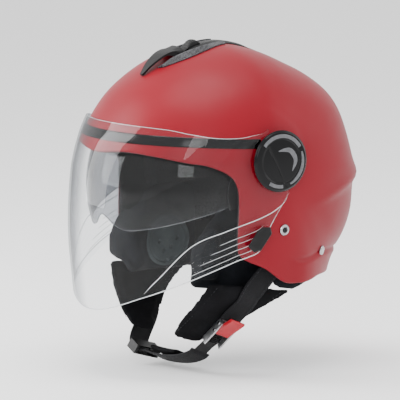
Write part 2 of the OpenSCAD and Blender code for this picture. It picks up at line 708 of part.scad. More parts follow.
module sun_slider() {
    at = function (r, a) [r * sin(a), r * cos(a)];
    base = slider_r + 0.6;
    color(soft_black) translate([0, slider_c.y, slider_c.z]) {
        // the foot follows the spine's track
        intersection() {
            difference() {
                disc_x(-7, 7, base + 1.2);
                disc_x(-8, 8, base);
            }
            translate([-8, 0, 0]) rotate([90, 0, 90]) linear_extrude(16)
                polygon([at(20, -24.5), at(100, -24.5), at(100, -13.2), at(20, -13.2)]);
        }
        translate([-7, 0, 0]) rotate([90, 0, 90]) linear_extrude(14)
            polygon([at(base + 0.8, -23.5), at(base + 0.8, -13.2), at(base + 2.2, -13.2),
                     at(base + 4.6, -15), at(base + 5.2, -18), at(base + 4, -20.5),
                     at(base + 1.8, -23)]);
        translate([-1.9, 0, 0]) rotate([90, 0, 90]) linear_extrude(3.8)
            polygon([at(77.2, -22), at(base + 0.4, -22), at(base + 0.4, -16), at(77.2, -16)]);
    }
}

outer_shell();
rim_trim();
impact_liner();
crown_pad();
on_side(1) cheek_pad();  // cheek_pad_left
on_side(-1) cheek_pad();  // cheek_pad_right
on_side(1) ear_pocket();  // ear_pocket_left
on_side(-1) ear_pocket();  // ear_pocket_right
neck_roll();
brow_strip();
vent_spine();
on_side(1) vent_wing();  // vent_wing_left
on_side(-1) vent_wing();  // vent_wing_right
on_side(1) pivot_base();  // pivot_base_left
on_side(-1) pivot_base();  // pivot_base_right
on_side(1) pivot_cover();  // pivot_cover_left
on_side(-1) pivot_cover();  // pivot_cover_right
on_side(1) pivot_inlay();  // pivot_inlay_left
on_side(-1) pivot_inlay();  // pivot_inlay_right
strap_anchors();
rear_studs();
sun_pivot_pins();
on_side(1) strap_sleeve();  // strap_sleeve_left
on_side(-1) strap_sleeve();  // strap_sleeve_right
chin_strap_left();
chin_strap_right();
chin_pad();
strap_adjuster();
buckle_body();
buckle_pins();
ratchet_tongue();
visor();
on_side(1) visor_bracket();  // visor_bracket_left
on_side(-1) visor_bracket();  // visor_bracket_right
visor_tab();
sun_visor();
on_side(1) sun_arm();  // sun_arm_left
on_side(-1) sun_arm();  // sun_arm_right
sun_slider();
buckle_lever();
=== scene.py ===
import json
import math

import bpy
import numpy as np
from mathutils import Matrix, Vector


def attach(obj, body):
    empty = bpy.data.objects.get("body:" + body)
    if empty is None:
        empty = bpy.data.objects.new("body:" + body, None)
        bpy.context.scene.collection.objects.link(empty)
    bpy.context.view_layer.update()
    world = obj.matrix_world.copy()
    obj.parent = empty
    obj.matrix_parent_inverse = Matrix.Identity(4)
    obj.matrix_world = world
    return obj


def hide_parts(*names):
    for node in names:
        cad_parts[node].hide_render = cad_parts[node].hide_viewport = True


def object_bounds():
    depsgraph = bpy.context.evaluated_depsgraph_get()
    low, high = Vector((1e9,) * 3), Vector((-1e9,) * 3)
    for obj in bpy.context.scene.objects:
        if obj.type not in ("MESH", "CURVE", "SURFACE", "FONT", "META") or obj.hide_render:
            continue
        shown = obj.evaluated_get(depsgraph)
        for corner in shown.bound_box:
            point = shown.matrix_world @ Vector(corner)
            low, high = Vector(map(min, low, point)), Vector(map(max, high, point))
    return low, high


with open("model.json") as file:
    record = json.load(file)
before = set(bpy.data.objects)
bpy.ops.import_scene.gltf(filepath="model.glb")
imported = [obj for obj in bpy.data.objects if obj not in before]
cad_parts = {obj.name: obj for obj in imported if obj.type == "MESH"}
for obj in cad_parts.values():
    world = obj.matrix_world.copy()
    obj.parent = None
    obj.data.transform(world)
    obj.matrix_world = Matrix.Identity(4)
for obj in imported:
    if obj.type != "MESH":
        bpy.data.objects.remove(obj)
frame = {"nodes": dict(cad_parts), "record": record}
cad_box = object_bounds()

MM = 0.001
SIDES = (1, "left"), (-1, "right")
record = frame["record"]
BODY_OF = {node: body for body, nodes in record["behaviour"]["bodies"].items() for node in nodes}

# --- Camera, lights and floor ---

AZIMUTH, ELEVATION = math.radians(58), math.radians(8)
DISTANCE = 6.0
LENS_PER_METRE = 91.8
AIM_RIGHT, AIM_UP = -0.0118, -0.052
FLOOR_GAP, FLOOR_SIZE, ROOM_LIGHT = 0.004, 14, 1.5
# name, place, aim, width and height in metres, power in watts
LAMPS = (("front_box", (-0.85, -1.2, 0.5), (0, -0.05, -0.05), 0.9, 1.35, 38),
         ("top_box", (0.1, -0.2, 1.6), (0, 0, 0.05), 1.2, 1.0, 26),
         ("side_box", (1.5, -1.1, 0.7), (0.05, 0, -0.05), 0.5, 0.9, 9),
         ("rear_box", (0.9, 1.5, 0.7), (0, 0.05, 0), 0.6, 1.2, 6))


def put(name, data):
    """A new object in the scene."""
    item = bpy.data.objects.new(name, data)
    bpy.context.collection.objects.link(item)
    return item


def make_camera():
    """A long lens, far off, on the helmet's left front."""
    right = Vector((math.cos(AZIMUTH), math.sin(AZIMUTH), 0))
    back = Vector((math.sin(AZIMUTH) * math.cos(ELEVATION),
                   -math.cos(AZIMUTH) * math.cos(ELEVATION), math.sin(ELEVATION)))
    up = back.cross(right)
    aim = right * AIM_RIGHT + up * AIM_UP
    data = bpy.data.cameras.new("camera")
    data.lens = LENS_PER_METRE * DISTANCE
    camera = put("camera", data)
    camera.location = aim + back * DISTANCE
    camera.rotation_euler = back.to_track_quat("Z", "Y").to_euler()
    bpy.context.scene.camera = camera


def softbox(name, place, aim, width, height, power):
    data = bpy.data.lights.new(name, "AREA")
    data.shape = "RECTANGLE"
    data.size, data.size_y, data.energy = width, height, power
    light = put(name, data)
    light.location = place
    light.rotation_euler = (Vector(place) - Vector(aim)).to_track_quat("Z", "Y").to_euler()


def make_studio():
    """A pale floor under the helmet, a white room and four soft lamps."""
    bpy.ops.mesh.primitive_plane_add(size=FLOOR_SIZE, location=(0, 0, cad_box[0][2] - FLOOR_GAP))
    floor = bpy.context.object
    floor.name = "floor"
    floor.data.materials.append(principled("floor_white", (0.9, 0.9, 0.9), 0.9))
    world = bpy.data.worlds.new("room")
    world.use_nodes = True
    sky = world.node_tree.nodes["Background"]
    sky.inputs["Color"].default_value = (1, 1, 1, 1)
    sky.inputs["Strength"].default_value = ROOM_LIGHT
    bpy.context.scene.world = world
    for lamp in LAMPS:
        softbox(*lamp)


# --- Materials ---


def principled(name, color, rough, **sockets):
    """A Principled material; the other sockets are named with underscores for spaces."""
    material = bpy.data.materials.new(name)
    material.use_nodes = True
    shader = material.node_tree.nodes["Principled BSDF"]
    shader.inputs["Base Color"].default_value = (*color, 1)
    shader.inputs["Roughness"].default_value = rough
    for socket, value in sockets.items():
        shader.inputs[socket.replace("_", " ")].default_value = value
    return material


def add(material, kind, **inputs):
    node = material.node_tree.nodes.new(kind)
    for socket, value in inputs.items():
        node.inputs[socket.replace("_", " ")].default_value = value
    return node


def link(material, source, target):
    material.node_tree.links.new(source, target)


def object_coordinates(material):
    return add(material, "ShaderNodeTexCoord").outputs["Object"]


def shader_of(material):
    return material.node_tree.nodes["Principled BSDF"]


def ramp(material, source, low, high, at=(0.35, 0.65)):
    """Spreads a grey value between two colours."""
    node = add(material, "ShaderNodeValToRGB")
    node.color_ramp.elements[0].position, node.color_ramp.elements[1].position = at
    node.color_ramp.elements[0].color = (*low, 1)
    node.color_ramp.elements[1].color = (*high, 1)
    link(material, source, node.inputs["Fac"])
    return node.outputs["Color"]


def noise(material, scale, detail=3.0):
    node = add(material, "ShaderNodeTexNoise", Scale=scale, Detail=detail)
    link(material, object_coordinates(material), node.inputs["Vector"])
    return node.outputs["Fac"]


def bump(material, height, strength, distance):
    """Adds a height to the shader's normal, on top of any bump already there."""
    node = add(material, "ShaderNodeBump", Strength=strength, Distance=distance)
    normal = shader_of(material).inputs["Normal"]
    if normal.is_linked:
        link(material, normal.links[0].from_socket, node.inputs["Normal"])
    link(material, height, node.inputs["Height"])
    link(material, node.outputs["Normal"], normal)


def colour_by(material, source, low, high, at=(0.35, 0.65)):
    link(material, ramp(material, source, low, high, at), shader_of(material).inputs["Base Color"])


def vary(material, socket, source, low, high):
    """Lets a grey value move one of the shader's sockets between two numbers."""
    node = add(material, "ShaderNodeMapRange", To_Min=low, To_Max=high)
    link(material, source, node.inputs["Value"])
    link(material, node.outputs["Result"], shader_of(material).inputs[socket])


def cells(material, scale, randomness=1.0):
    node = add(material, "ShaderNodeTexVoronoi", Scale=scale, Randomness=randomness)
    link(material, object_coordinates(material), node.inputs["Vector"])
    return node.outputs["Distance"]


def varied(name, colour, rough, tint=None, sheen=None, grain=None, **sockets):
    """A Principled material whose tint, sheen and grain vary: tint and sheen are
    (noise scale, low, high), grain is (noise scale, strength, distance); a noise detail may follow."""
    m = principled(name, colour, rough, **sockets)
    if tint:
        scale, low, high, *detail = tint
        colour_by(m, noise(m, scale, *detail), low, high)
    if sheen:
        vary(m, "Roughness", noise(m, sheen[0]), *sheen[1:])
    if grain:
        scale, strength, distance, *detail = grain
        bump(m, noise(m, scale, *detail), strength, distance)
    return m


def red_lacquer():
    """Satin red lacquer with a faint orange peel and slight unevenness in its sheen."""
    return varied("red_lacquer", (0.19, 0.0, 0.007), 0.42, (9, (0.18, 0.0, 0.0066), (0.2, 0.0, 0.0076), 2),
                  (60, 0.38, 0.48), (900, 0.05, 0.0002, 1), Specular_IOR_Level=0.2)


def gloss_black():
    return varied("gloss_black", (0.0015, 0.0015, 0.002), 0.12, None, (220, 0.08, 0.2),
                  (60, 0.03, 0.0004, 1), Specular_IOR_Level=0.2)


def satin_black(name="satin_black"):
    """Moulded black plastic with a fine spark-eroded grain."""
    low, high = (0.002, 0.002, 0.0022), (0.005, 0.005, 0.0055)
    return varied(name, low, 0.45, (120, low, high), (500, 0.36, 0.58), (2600, 0.25, 0.0002, 2),
                  Specular_IOR_Level=0.25)


def carbon_black():
    """Satin plastic with a small twill pattern, as on the vent's wings."""
    m = principled("carbon_black", (0.02, 0.02, 0.022), 0.34)
    check = add(m, "ShaderNodeTexChecker", Scale=520)
    turn = add(m, "ShaderNodeMapping", Rotation=(0.5, 0.2, 0.785))
    link(m, object_coordinates(m), turn.inputs["Vector"])
    link(m, turn.outputs["Vector"], check.inputs["Vector"])
    colour_by(m, check.outputs["Fac"], (0.01, 0.01, 0.012), (0.05, 0.05, 0.056), (0.0, 1.0))
    bump(m, check.outputs["Fac"], 0.3, 0.0002)
    return m


def knit(name, low, high, size=1100, rough=0.85):
    """Brushed knit over foam: small loops, soft sheen and uneven dye."""
    m = principled(name, low, rough, Specular_IOR_Level=0.1)
    colour_by(m, noise(m, 40, 5), low, high)
    vary(m, "Roughness", noise(m, 300), rough - 0.12, min(1, rough + 0.1))
    bump(m, cells(m, size, 0.35), 0.03, 0.0002)
    bump(m, noise(m, 60, 3), 0.3, 0.0012)
    return m


def mesh_cloth():
    """Open spacer mesh: rows of small round holes. Its grey-green is partly painted light, made paler for
    the light that falls inside the helmet.
    """
    m = knit("spacer_mesh", (0.03, 0.038, 0.04), (0.05, 0.06, 0.062), 700)
    bump(m, ramp(m, cells(m, 330, 0.0), (0, 0, 0), (1, 1, 1), (0.15, 0.32)), 0.12, 0.0004)
    return m


def webbing():
    """Woven strap: ribs across it and fine yarns along it, laid out by its UV map."""
    m = principled("webbing", (0.003, 0.003, 0.004), 0.6, Specular_IOR_Level=0.2)
    uv = add(m, "ShaderNodeTexCoord").outputs["UV"]
    heights = []
    for direction, scale in (("X", 260), ("Y", 7)):
        wave = add(m, "ShaderNodeTexWave", Scale=scale, Distortion=0.4)
        wave.bands_direction = direction
        link(m, uv, wave.inputs["Vector"])
        heights.append(wave.outputs["Fac"])
    colour_by(m, heights[0], (0.0015, 0.0015, 0.002), (0.007, 0.007, 0.009))
    for height in heights:
        bump(m, height, 0.6, 0.0006)
    return m


def rubber():
    return varied("edge_rubber", (0.003, 0.003, 0.003), 0.6,
                  (90, (0.002, 0.002, 0.0022), (0.005, 0.005, 0.0055)), None, (1500, 0.2, 0.0003),
                  Specular_IOR_Level=0.2)


def bead_foam():
    m = principled("bead_foam", (0.004, 0.004, 0.005), 0.8, Specular_IOR_Level=0.1)
    beads = cells(m, 330)
    colour_by(m, beads, (0.007, 0.007, 0.0075), (0.002, 0.002, 0.0025))
    bump(m, beads, 0.8, 0.0012)
    return m


def steel(name, rough, low=0.5, high=0.68):
    return varied(name, (high, high, high), rough, (160, (low, low, low * 1.02), (high, high, high * 1.02)),
                  (700, rough * 0.7, rough * 1.5), (1200, 0.08, 0.0002), Metallic=1.0)


def red_plastic():
    return varied("lever_red", (0.34, 0.0, 0.009), 0.34, (140, (0.31, 0.0, 0.008), (0.37, 0.0, 0.01)),
                  (600, 0.26, 0.44), (1800, 0.15, 0.0002))


def grey_inlay():
    return varied("grey_inlay", (0.08, 0.082, 0.09), 0.35, (300, (0.065, 0.067, 0.074), (0.1, 0.102, 0.11)),
                  (900, 0.28, 0.45))


def clear_sheet(name, face_on, edge_on, gloss_rough):
    """Clear plastic: a tint that deepens at grazing angles, and gloss on its outer faces."""
    m = bpy.data.materials.new(name)
    m.use_nodes = True
    tree = m.node_tree
    tree.nodes.remove(shader_of(m))
    facing = add(m, "ShaderNodeLayerWeight", Blend=0.5).outputs["Facing"]
    see_through = add(m, "ShaderNodeBsdfTransparent")
    link(m, ramp(m, facing, face_on, edge_on, (0.55, 1.0)), see_through.inputs["Color"])
    gloss = add(m, "ShaderNodeBsdfGlossy", Roughness=gloss_rough)
    grazing = operate(m, "POWER", facing, 4)
    front = operate(m, "SUBTRACT", 1, add(m, "ShaderNodeNewGeometry").outputs["Backfacing"])
    amount = operate(m, "MULTIPLY", operate(m, "MULTIPLY_ADD", grazing, 0.6, 0.02), front)
    mixed = add(m, "ShaderNodeMixShader")
    link(m, amount, mixed.inputs["Fac"])
    link(m, see_through.outputs["BSDF"], mixed.inputs[1])
    link(m, gloss.outputs["BSDF"], mixed.inputs[2])
    link(m, mixed.outputs["Shader"], tree.nodes["Material Output"].inputs["Surface"])
    return m


def operate(material, operation, *values):
    """A maths node; each value is a number or another node's output."""
    node = add(material, "ShaderNodeMath")
    node.operation = operation
    for k, value in enumerate(values):
        if isinstance(value, (int, float)):
            node.inputs[k].default_value = value
        else:
            link(material, value, node.inputs[k])
    return node.outputs["Value"]


# --- Curves and surfaces, in millimetres ---


def curve(points, x):
    """A smooth curve through [key, value...] rows, at keys x."""
    points = np.asarray(points, float)
    keys = points[:, 0]
    values = points[:, 1] if points.shape[1] == 2 else points[:, 1:]
    order = np.arange(len(keys))
    lo, hi = np.maximum(order - 1, 0), np.minimum(order + 1, len(keys) - 1)
    span = keys[hi] - keys[lo]
    x = np.clip(np.asarray(x, float), keys[0], keys[-1])
    i = np.clip(np.searchsorted(keys, x, side="right") - 1, 0, len(keys) - 2)
    step = keys[i + 1] - keys[i]
    f = (x - keys[i]) / step
    if values.ndim == 2:
        span, step, f = span[:, None], step[..., None], f[..., None]
    slopes = (values[hi] - values[lo]) / span
    a, b, m, n = values[i], values[i + 1], slopes[i] * step, slopes[i + 1] * step
    return ((2 * f**3 - 3 * f**2 + 1) * a + (f**3 - 2 * f**2 + f) * m
            + (3 * f**2 - 2 * f**3) * b + (f**3 - f**2) * n)


def way_along(points):
    """How far along a path each of its points lies."""
    return np.concatenate([[0], np.cumsum(np.linalg.norm(np.diff(points, axis=0), axis=1))])


def path(points, count):
    """Even points along a smooth path through a few."""
    points = np.asarray(points, float)
    keys = way_along(points)
    return curve(np.column_stack([keys, points]), np.linspace(0, keys[-1], count))


def unit(v):
    return v / np.maximum(np.linalg.norm(v, axis=-1, keepdims=True), 1e-9)


def smooth(lo, hi, x):
    f = np.clip((np.asarray(x, float) - lo) / (hi - lo), 0, 1)
    return f * f * (3 - 2 * f)


def mix(a, b, f):
    return a + (b - a) * f


def bell(x, width):
    return np.exp(-((x / width) ** 2))


def grid(rows, cols):
    return np.meshgrid(rows, cols, indexing="ij")


def full_turn(count):
    """Even angles all the way round."""
    return np.linspace(0, 2 * math.pi, count, endpoint=False)


def rings_round(middles, size, angles, across, up):
    """A ring of points round each middle, in the plane of its two directions."""
    return middles[:, None] + size * (np.cos(angles)[None, :, None] * across[:, None]
                                      + np.sin(angles)[None, :, None] * up[:, None])


HALF_W, POWER, WALL = 116.0, 2.1, 3.5
OUTLINE = [[0, -370], [-132, -291], [-134, -96], [-133, -37], [-136, 0], [-125, 25],
           [-116, 39], [-103, 55.5], [-75, 78], [-48, 92], [-22, 99.6], [5, 103],
           [32, 97.5], [66, 84], [92, 71], [115.5, 53], [127, 36], [135, 15.5], [143, -12],
           [147.5, -26], [146.8, -47], [142.8, -71], [128, -101], [114.5, -118],
           [106, -141], [97, -175], [79, -258], [46, -327], [0, -370]]
RIM_HALF = [[0, -136.6, 6.7], [43, -127.4, 10], [72, -107.8, 6.7], [92.8, -83.4, 1],
            [101.7, -67.7, -2], [110, -46.4, -13], [112, -39, -28], [112, -39, -86],
            [110, -33, -92], [113, -7, -107], [110, 17, -122], [105, 37, -124],
            [88, 66, -120], [44, 102, -119], [0, 114.5, -119]]
POLE = np.array([0, 0.57, 0.822])
EVEN_TURNS = np.arange(-90, 270.25, 0.25)


def turn_of(y, z):
    a = np.degrees(np.arctan2(z, -y))
    return np.where(a < -90, a + 360, a)


def make_profile():
    """The shell's radius at EVEN_TURNS, its outline evened out a little."""
    rows = [[turn_of(y, z), math.hypot(y, z)] for y, z in OUTLINE]
    rows[0][0], rows[-1][0] = -90, 270
    radii = curve(rows, EVEN_TURNS)
    reach = 24
    kernel = bell(np.arange(-reach, reach + 1), 11)
    padded = np.concatenate([radii[-reach - 1:-1], radii, radii[1:reach + 1]])
    return np.convolve(padded, kernel / kernel.sum(), "valid")


PROFILE = make_profile()
PROFILE_SLOPE = np.gradient(PROFILE, EVEN_TURNS)


def shell_level(p):
    q = np.hypot(p[..., 1], p[..., 2])
    radius = np.interp(turn_of(p[..., 1], p[..., 2]), EVEN_TURNS, PROFILE)
    return (np.abs(p[..., 0]) / HALF_W) ** POWER + (q / radius) ** POWER


def shell_normal(p):
    q = np.maximum(np.hypot(p[..., 1], p[..., 2]), 0.01)
    turn = turn_of(p[..., 1], p[..., 2])
    radius = np.interp(turn, EVEN_TURNS, PROFILE)
    slope = np.interp(turn, EVEN_TURNS, PROFILE_SLOPE)
    gx = np.sign(p[..., 0]) * np.abs(p[..., 0]) ** (POWER - 1) / HALF_W**POWER
    gq = q ** (POWER - 1) / radius**POWER
    ga = -(q ** (POWER - 1)) / radius ** (POWER + 1) * slope * 180 / math.pi
    a = np.radians(turn)
    return unit(np.stack([gx, -gq * np.cos(a) + ga * np.sin(a),
                          gq * np.sin(a) + ga * np.cos(a)], -1))


def shell_ray(d):
    return d * (shell_level(d) ** (-1 / POWER))[..., None]


def first_hit(start, d, level):
    """Where rays that start inside a surface, whose level is 1, meet it."""
    lo, hi = np.zeros(start.shape[:-1]), np.full(start.shape[:-1], 400.0)
    for _ in range(30):
        mid = (lo + hi) / 2
        out = level(start + d * mid[..., None]) > 1
        lo, hi = np.where(out, lo, mid), np.where(out, mid, hi)
    return start + d * lo[..., None]


def above(x, y):
    """The shell's upper surface over (x, y)."""
    x, y = np.broadcast_arrays(np.asarray(x, float), np.asarray(y, float))
    return first_hit(np.stack([x, y, np.zeros_like(x)], -1), np.array([0.0, 0, 1]), shell_level)


def beside(y, z):
    """The shell's left side at (y, z)."""
    y, z = np.broadcast_arrays(np.asarray(y, float), np.asarray(z, float))
    return first_hit(np.stack([np.zeros_like(y), y, z], -1), np.array([1.0, 0, 0]), shell_level)


def slerp(a, b, f):
    w = np.arccos(np.clip(np.sum(a * b, -1), -1, 1))[..., None]
    return (a * np.sin(w * (1 - f)) + b * np.sin(w * f)) / np.sin(w)


def rim_loop(count):
    """Directions of count even points round the rim, from the brow over the left side."""
    half = np.array(RIM_HALF, float)
    other = half[-2:0:-1] * [-1, 1, 1]
    loop = np.vstack([half[1] * [-1, 1, 1], half, other, half[0], half[1]])
    keys = way_along(loop)
    at = keys[1] + (keys[-2] - keys[1]) * np.arange(count) / count
    return unit(curve(np.column_stack([keys, loop]), at))


# --- Meshes ---


def new_piece(name, points, faces, material, uv=None):
    """A mesh object from points in millimetres, its faces turned outwards."""
    mesh = bpy.data.meshes.new(name)
    mesh.from_pydata((np.asarray(points, float).reshape(-1, 3) * MM).tolist(), [], faces)
    mesh.validate()
    if signed_volume(mesh) < 0:
        mesh.flip_normals()
    mesh.shade_smooth()
    if uv is not None:
        layer = mesh.uv_layers.new(name="UVMap")
        uv = np.asarray(uv, float)
        for loop in mesh.loops:
            layer.data[loop.index].uv = uv[loop.vertex_index]
    mesh.materials.append(material)
    return put(name, mesh)


def signed_volume(mesh):
    mesh.calc_loop_triangles()
    tri = np.empty(len(mesh.loop_triangles) * 3, int)
    mesh.loop_triangles.foreach_get("vertices", tri)
    a, b, c = vertices(mesh)[tri.reshape(-1, 3)].transpose(1, 0, 2)
    return float(np.sum(a * np.cross(b, c)))


def grid_faces(rows, cols, start=0, closed=False):
    """Quads of a grid of points; a closed grid joins its last column to its first."""
    last = cols if closed else cols - 1
    return [(start + i * cols + j, start + i * cols + (j + 1) % cols,
             start + (i + 1) * cols + (j + 1) % cols, start + (i + 1) * cols + j)
            for i in range(rows - 1) for j in range(last)]


def tube_faces(rows, cols, start=0):
    """The faces of a closed grid of points, with a cap over each end."""
    last = start + (rows - 1) * cols
    return grid_faces(rows, cols, start, closed=True) + [tuple(range(start, start + cols))[::-1],
                                                         tuple(range(last, last + cols))]


def tube_piece(name, rows, material, uv=None):
    """The solid inside a closed grid of points."""
    rows = np.asarray(rows, float)
    return new_piece(name, rows, tube_faces(*rows.shape[:2]), material, uv=uv)


def sheet_piece(name, top, under, material, sharp=40):
    """The solid between two grids of points."""
    rows, cols = top.shape[:2]
    n = rows * cols
    faces = grid_faces(rows, cols) + [f[::-1] for f in grid_faces(rows, cols, n)]
    index = np.arange(n).reshape(rows, cols)
    ring = np.concatenate([index[0], index[1:, -1], index[-1, -2::-1], index[-2:0:-1, 0]]).tolist()
    faces += [(ring[k - 1], n + ring[k - 1], n + ring[k], ring[k]) for k in range(len(ring))]
    points = np.concatenate([top.reshape(-1, 3), under.reshape(-1, 3)])
    piece = new_piece(name, points, faces, material)
    sharpen(piece, sharp)
    return piece


def ring_piece(name, rings, material, sharp=50, uv=None):
    """The solid along a row of closed rings of points."""
    piece = tube_piece(name, rings, material, uv)
    sharpen(piece, sharp)
    return piece


def hoop_piece(name, rings, material):
    """The solid along rings that lead back to the first one."""
    n, m = rings.shape[:2]
    faces = [tuple(k % (n * m) for k in face) for face in grid_faces(n + 1, m, closed=True)]
    piece = new_piece(name, rings, faces, material)
    sharpen(piece, 50)
    return piece


def sharpen(piece, degrees):
    """Keeps edges steeper than an angle crisp."""
    piece.data.set_sharp_from_angle(angle=math.radians(degrees))


def bevel(piece, width, segments=2, angle=35):
    m = piece.modifiers.new("bevel", "BEVEL")
    m.width, m.segments, m.limit_method = width * MM, segments, "ANGLE"
    m.angle_limit = math.radians(angle)


def stands_for(piece, *nodes):
    """The piece takes the place and body of CAD nodes: it rides with the first node's body, and the nodes
    are hidden.
    """
    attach(piece, BODY_OF[nodes[0]])
    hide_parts(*nodes)
    return piece


def goes_with(piece, node):
    """A detail that rides with a CAD node without replacing it."""
    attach(piece, BODY_OF[node])
    return piece


def mirrored(points):
    return np.asarray(points, float) * [-1, 1, 1]


# --- The hard shell ---

RIM_COUNT, RIM_BULGE = 360, 1.2
MEAN_RADIUS = 140
RIDGE_Y, RIDGE_Z, RIDGE_SLOPE = 147, -23, 0.235
EDGE_Y, EDGE_Z, EDGE_R = -22, -6, 58.5


def styling(p, to_rim):
    """How far the styling lines move the shell out; to_rim is the distance to its rim."""
    y, z = p[..., 1], p[..., 2]
    # a ridge round the back that fades out on the sides, hollow below it
    below = RIDGE_Z - RIDGE_SLOPE * (RIDGE_Y - y) - z
    fade = smooth(34, 120, y)
    ridge = 1.3 * bell(below, 7) - 2.6 * smooth(0, 9, below) * (1 - smooth(12, 62, below))
    # a soft edge that bends round behind and over the pivot
    turn = np.degrees(np.arctan2(z - EDGE_Z, y - EDGE_Y))
    radius = np.hypot(y - EDGE_Y, z - EDGE_Z)
    over = smooth(12, 30, turn) * (1 - smooth(66, 82, turn)) * smooth(95, 108, np.abs(p[..., 0]))
    edge = -0.55 * smooth(EDGE_R, 61, radius) * (1 - smooth(61, 84, radius)) * over
    # a flared lip along the lower rear edge
    lip = smooth(18, 42, y) * smooth(-60, -95, z) * (
        2.0 * (1 - smooth(15, 19, to_rim)) - 0.9 * bell(to_rim - 19.5, 1.3))
    return ridge * fade + edge + lip


def make_shell(material, inside):
    rim = rim_loop(RIM_COUNT)
    arc = np.arccos(np.clip(rim @ POLE, -1, 1)) * MEAN_RADIUS
    reach = np.concatenate([np.linspace(0.004, 0.78, 56, endpoint=False), np.linspace(0.78, 1, 46)])
    rows = []
    for f in reach:
        p = shell_ray(slerp(POLE[None], rim, f))
        rows.append(p + shell_normal(p) * styling(p, arc * (1 - f))[:, None])
    edge = shell_ray(rim)
    n = shell_normal(edge)
    out = unit(edge - shell_ray(slerp(POLE[None], rim, 0.99)))
    lift = styling(edge, arc * 0)[:, None]
    # the rim turns round a small radius on to the inner face
    for a in np.radians([30, 60, 90, 120, 150]):
        rows.append(edge + n * (lift * (1 + math.cos(a)) - WALL * (1 - math.cos(a))) / 2
                    + out * RIM_BULGE * math.sin(a))
    for f in np.linspace(1, 0.01, 30):
        p = shell_ray(slerp(POLE[None], rim, f))
        rows.append(p - shell_normal(p) * WALL)
    shell = stands_for(tube_piece("shell_skin", rows, material), "outer_shell")
    shell.data.materials.append(inside)
    first = (len(reach) + 2) * RIM_COUNT
    for face in shell.data.polygons:
        if min(face.vertices) >= first:
            face.material_index = 1


# --- Brow strip and crown vent ---

SKIN_LOW = 0.15
BROW_TURN, BROW_Z, BROW_HALF = 82, 18.5, 4.6


def skin_piece(name, place, rows, cols, material, sharp=40):
    """A layer on the shell: place gives surface points, their heights and, at times, undersides."""
    u, v = grid(np.linspace(0, 1, rows), np.linspace(0, 1, cols))
    p, height, *under = place(u, v)
    n = shell_normal(p)
    under = under[0] if under else np.full_like(height, SKIN_LOW)
    return sheet_piece(name, p + n * height[..., None], p + n * under[..., None], material, sharp)


def make_brow(material):
    def place(u, v):
        a = np.radians(mix(-BROW_TURN, BROW_TURN, u))
        z = BROW_Z + 3 * np.cos(a) ** 2 - 2 * np.sin(a) ** 8 + mix(-BROW_HALF, BROW_HALF, v)
        start = np.stack([a * 0, a * 0, z], -1)
        across = np.stack([np.sin(a), -np.cos(a), a * 0], -1)
        return first_hit(start, across, shell_level), 0.35 + 0.5 * (1 - (2 * v - 1) ** 6)

    stands_for(skin_piece("brow_band", place, 220, 14, material), "brow_strip")


SLIDER_Y, SLIDER_Z, SLIDER_R = 1.2, 22.3, 83.0
SPINE_W = [[-80, 2.2], [-66, 7], [-50, 10.5], [-30, 12.5], [-10, 12.5], [20, 9.5], [50, 3]]
SPINE_H = [[-80, 2.8], [-70, 6.2], [-57, 8.4], [-46, 7.8], [-38, 7.5]]
WING_EDGE = [[-64, 14.2], [-52, 21], [-38, 24.5], [-20, 22.5], [-4, 18], [6, 14.6]]


def spine_height(y):
    mid = above(y * 0, y)
    track = SLIDER_R - np.hypot(mid[..., 1] - SLIDER_Y, mid[..., 2] - SLIDER_Z)
    track = np.maximum(np.minimum(track, mix(4, 0.6, smooth(36, 50, y))), 0.6)
    return mix(curve(SPINE_H, y), track, smooth(-39, -36.5, y))


def make_vent(black, carbon):
    def spine(u, v):
        y = mix(-80.0, 50.0, u)
        s = 2 * v - 1
        p = above(s * curve(SPINE_W, y), y)
        side_drop = 0.22 * smooth(0.55, 0.8, np.abs(s)) + 0.5 * np.abs(s) ** 8
        height = spine_height(y) * (1 - side_drop * smooth(-50, -36, y))
        groove = 0.6 * bell(np.abs(s) - 0.5, 0.03) * smooth(-50, -20, y) * (1 - smooth(25, 45, y))
        height = np.maximum(height - groove, 0.5)
        return p, height, mix(height - 2, SKIN_LOW, smooth(-56, -44, y))

    stands_for(skin_piece("vent_body", spine, 240, 65, black, sharp=50), "vent_spine")

    for side, word in SIDES:
        def wing(u, v, side=side):
            y = mix(-64.0, 6.0, u)
            inner = curve(SPINE_W, y) + 0.4
            outer = np.maximum(inner + 0.6, curve(WING_EDGE, y))
            y = y - 3 * (1 - v) * (1 - smooth(-64, -54, y))
            p = above(side * mix(inner, outer, v), y)
            ribs = 0.5 * np.cos(v * math.pi * 10) * smooth(0.0, 0.1, v) * (1 - smooth(0.92, 1, v))
            rise = 1.3 + 1.6 * (1 - v) * smooth(-64, -50, y)
            return p, np.maximum(rise + ribs * smooth(-64, -58, y) * (1 - smooth(-22, -8, y)), 0.4)

        stands_for(skin_piece(f"vent_wing_grooved_{word}", wing, 110, 61, carbon), f"vent_wing_{word}")


def make_slider(material):
    """The ribbed knob that runs on the vent's spine."""
    outline = [(-26.4, 0.4), (-25.6, 1.6), (-23.4, 2.2), (-21, 4.4), (-18.6, 5.8), (-16, 5.6),
               (-14, 3.6), (-13.2, 0.6)]
    turns = np.linspace(-26.4, -13.2, 60)
    top = curve(outline, turns) + 0.28 * np.cos(turns * 4.2) * smooth(-25, -23, turns)
    t, s = grid(np.radians(turns), np.linspace(-1, 1, 25))
    crown = 1 - 0.35 * np.abs(s) ** 4
    r = SLIDER_R + 0.4 + np.maximum((top[:, None] - 0.4) * crown, 0.05)
    half = 6.6 - 1.4 * smooth(2, 5.5, top)[:, None]

    def at(radius):
        return np.stack([s * half, SLIDER_Y + radius * np.sin(t), SLIDER_Z + radius * np.cos(t)], -1)

    piece = sheet_piece("crown_knob", at(r), at(np.full_like(r, SLIDER_R + 0.35)), material, 55)
    stands_for(piece, "sun_slider")


# --- Visor ---

VISOR_W, VISOR_LONG, VISOR_T = 122.5, 147.0, 2.0
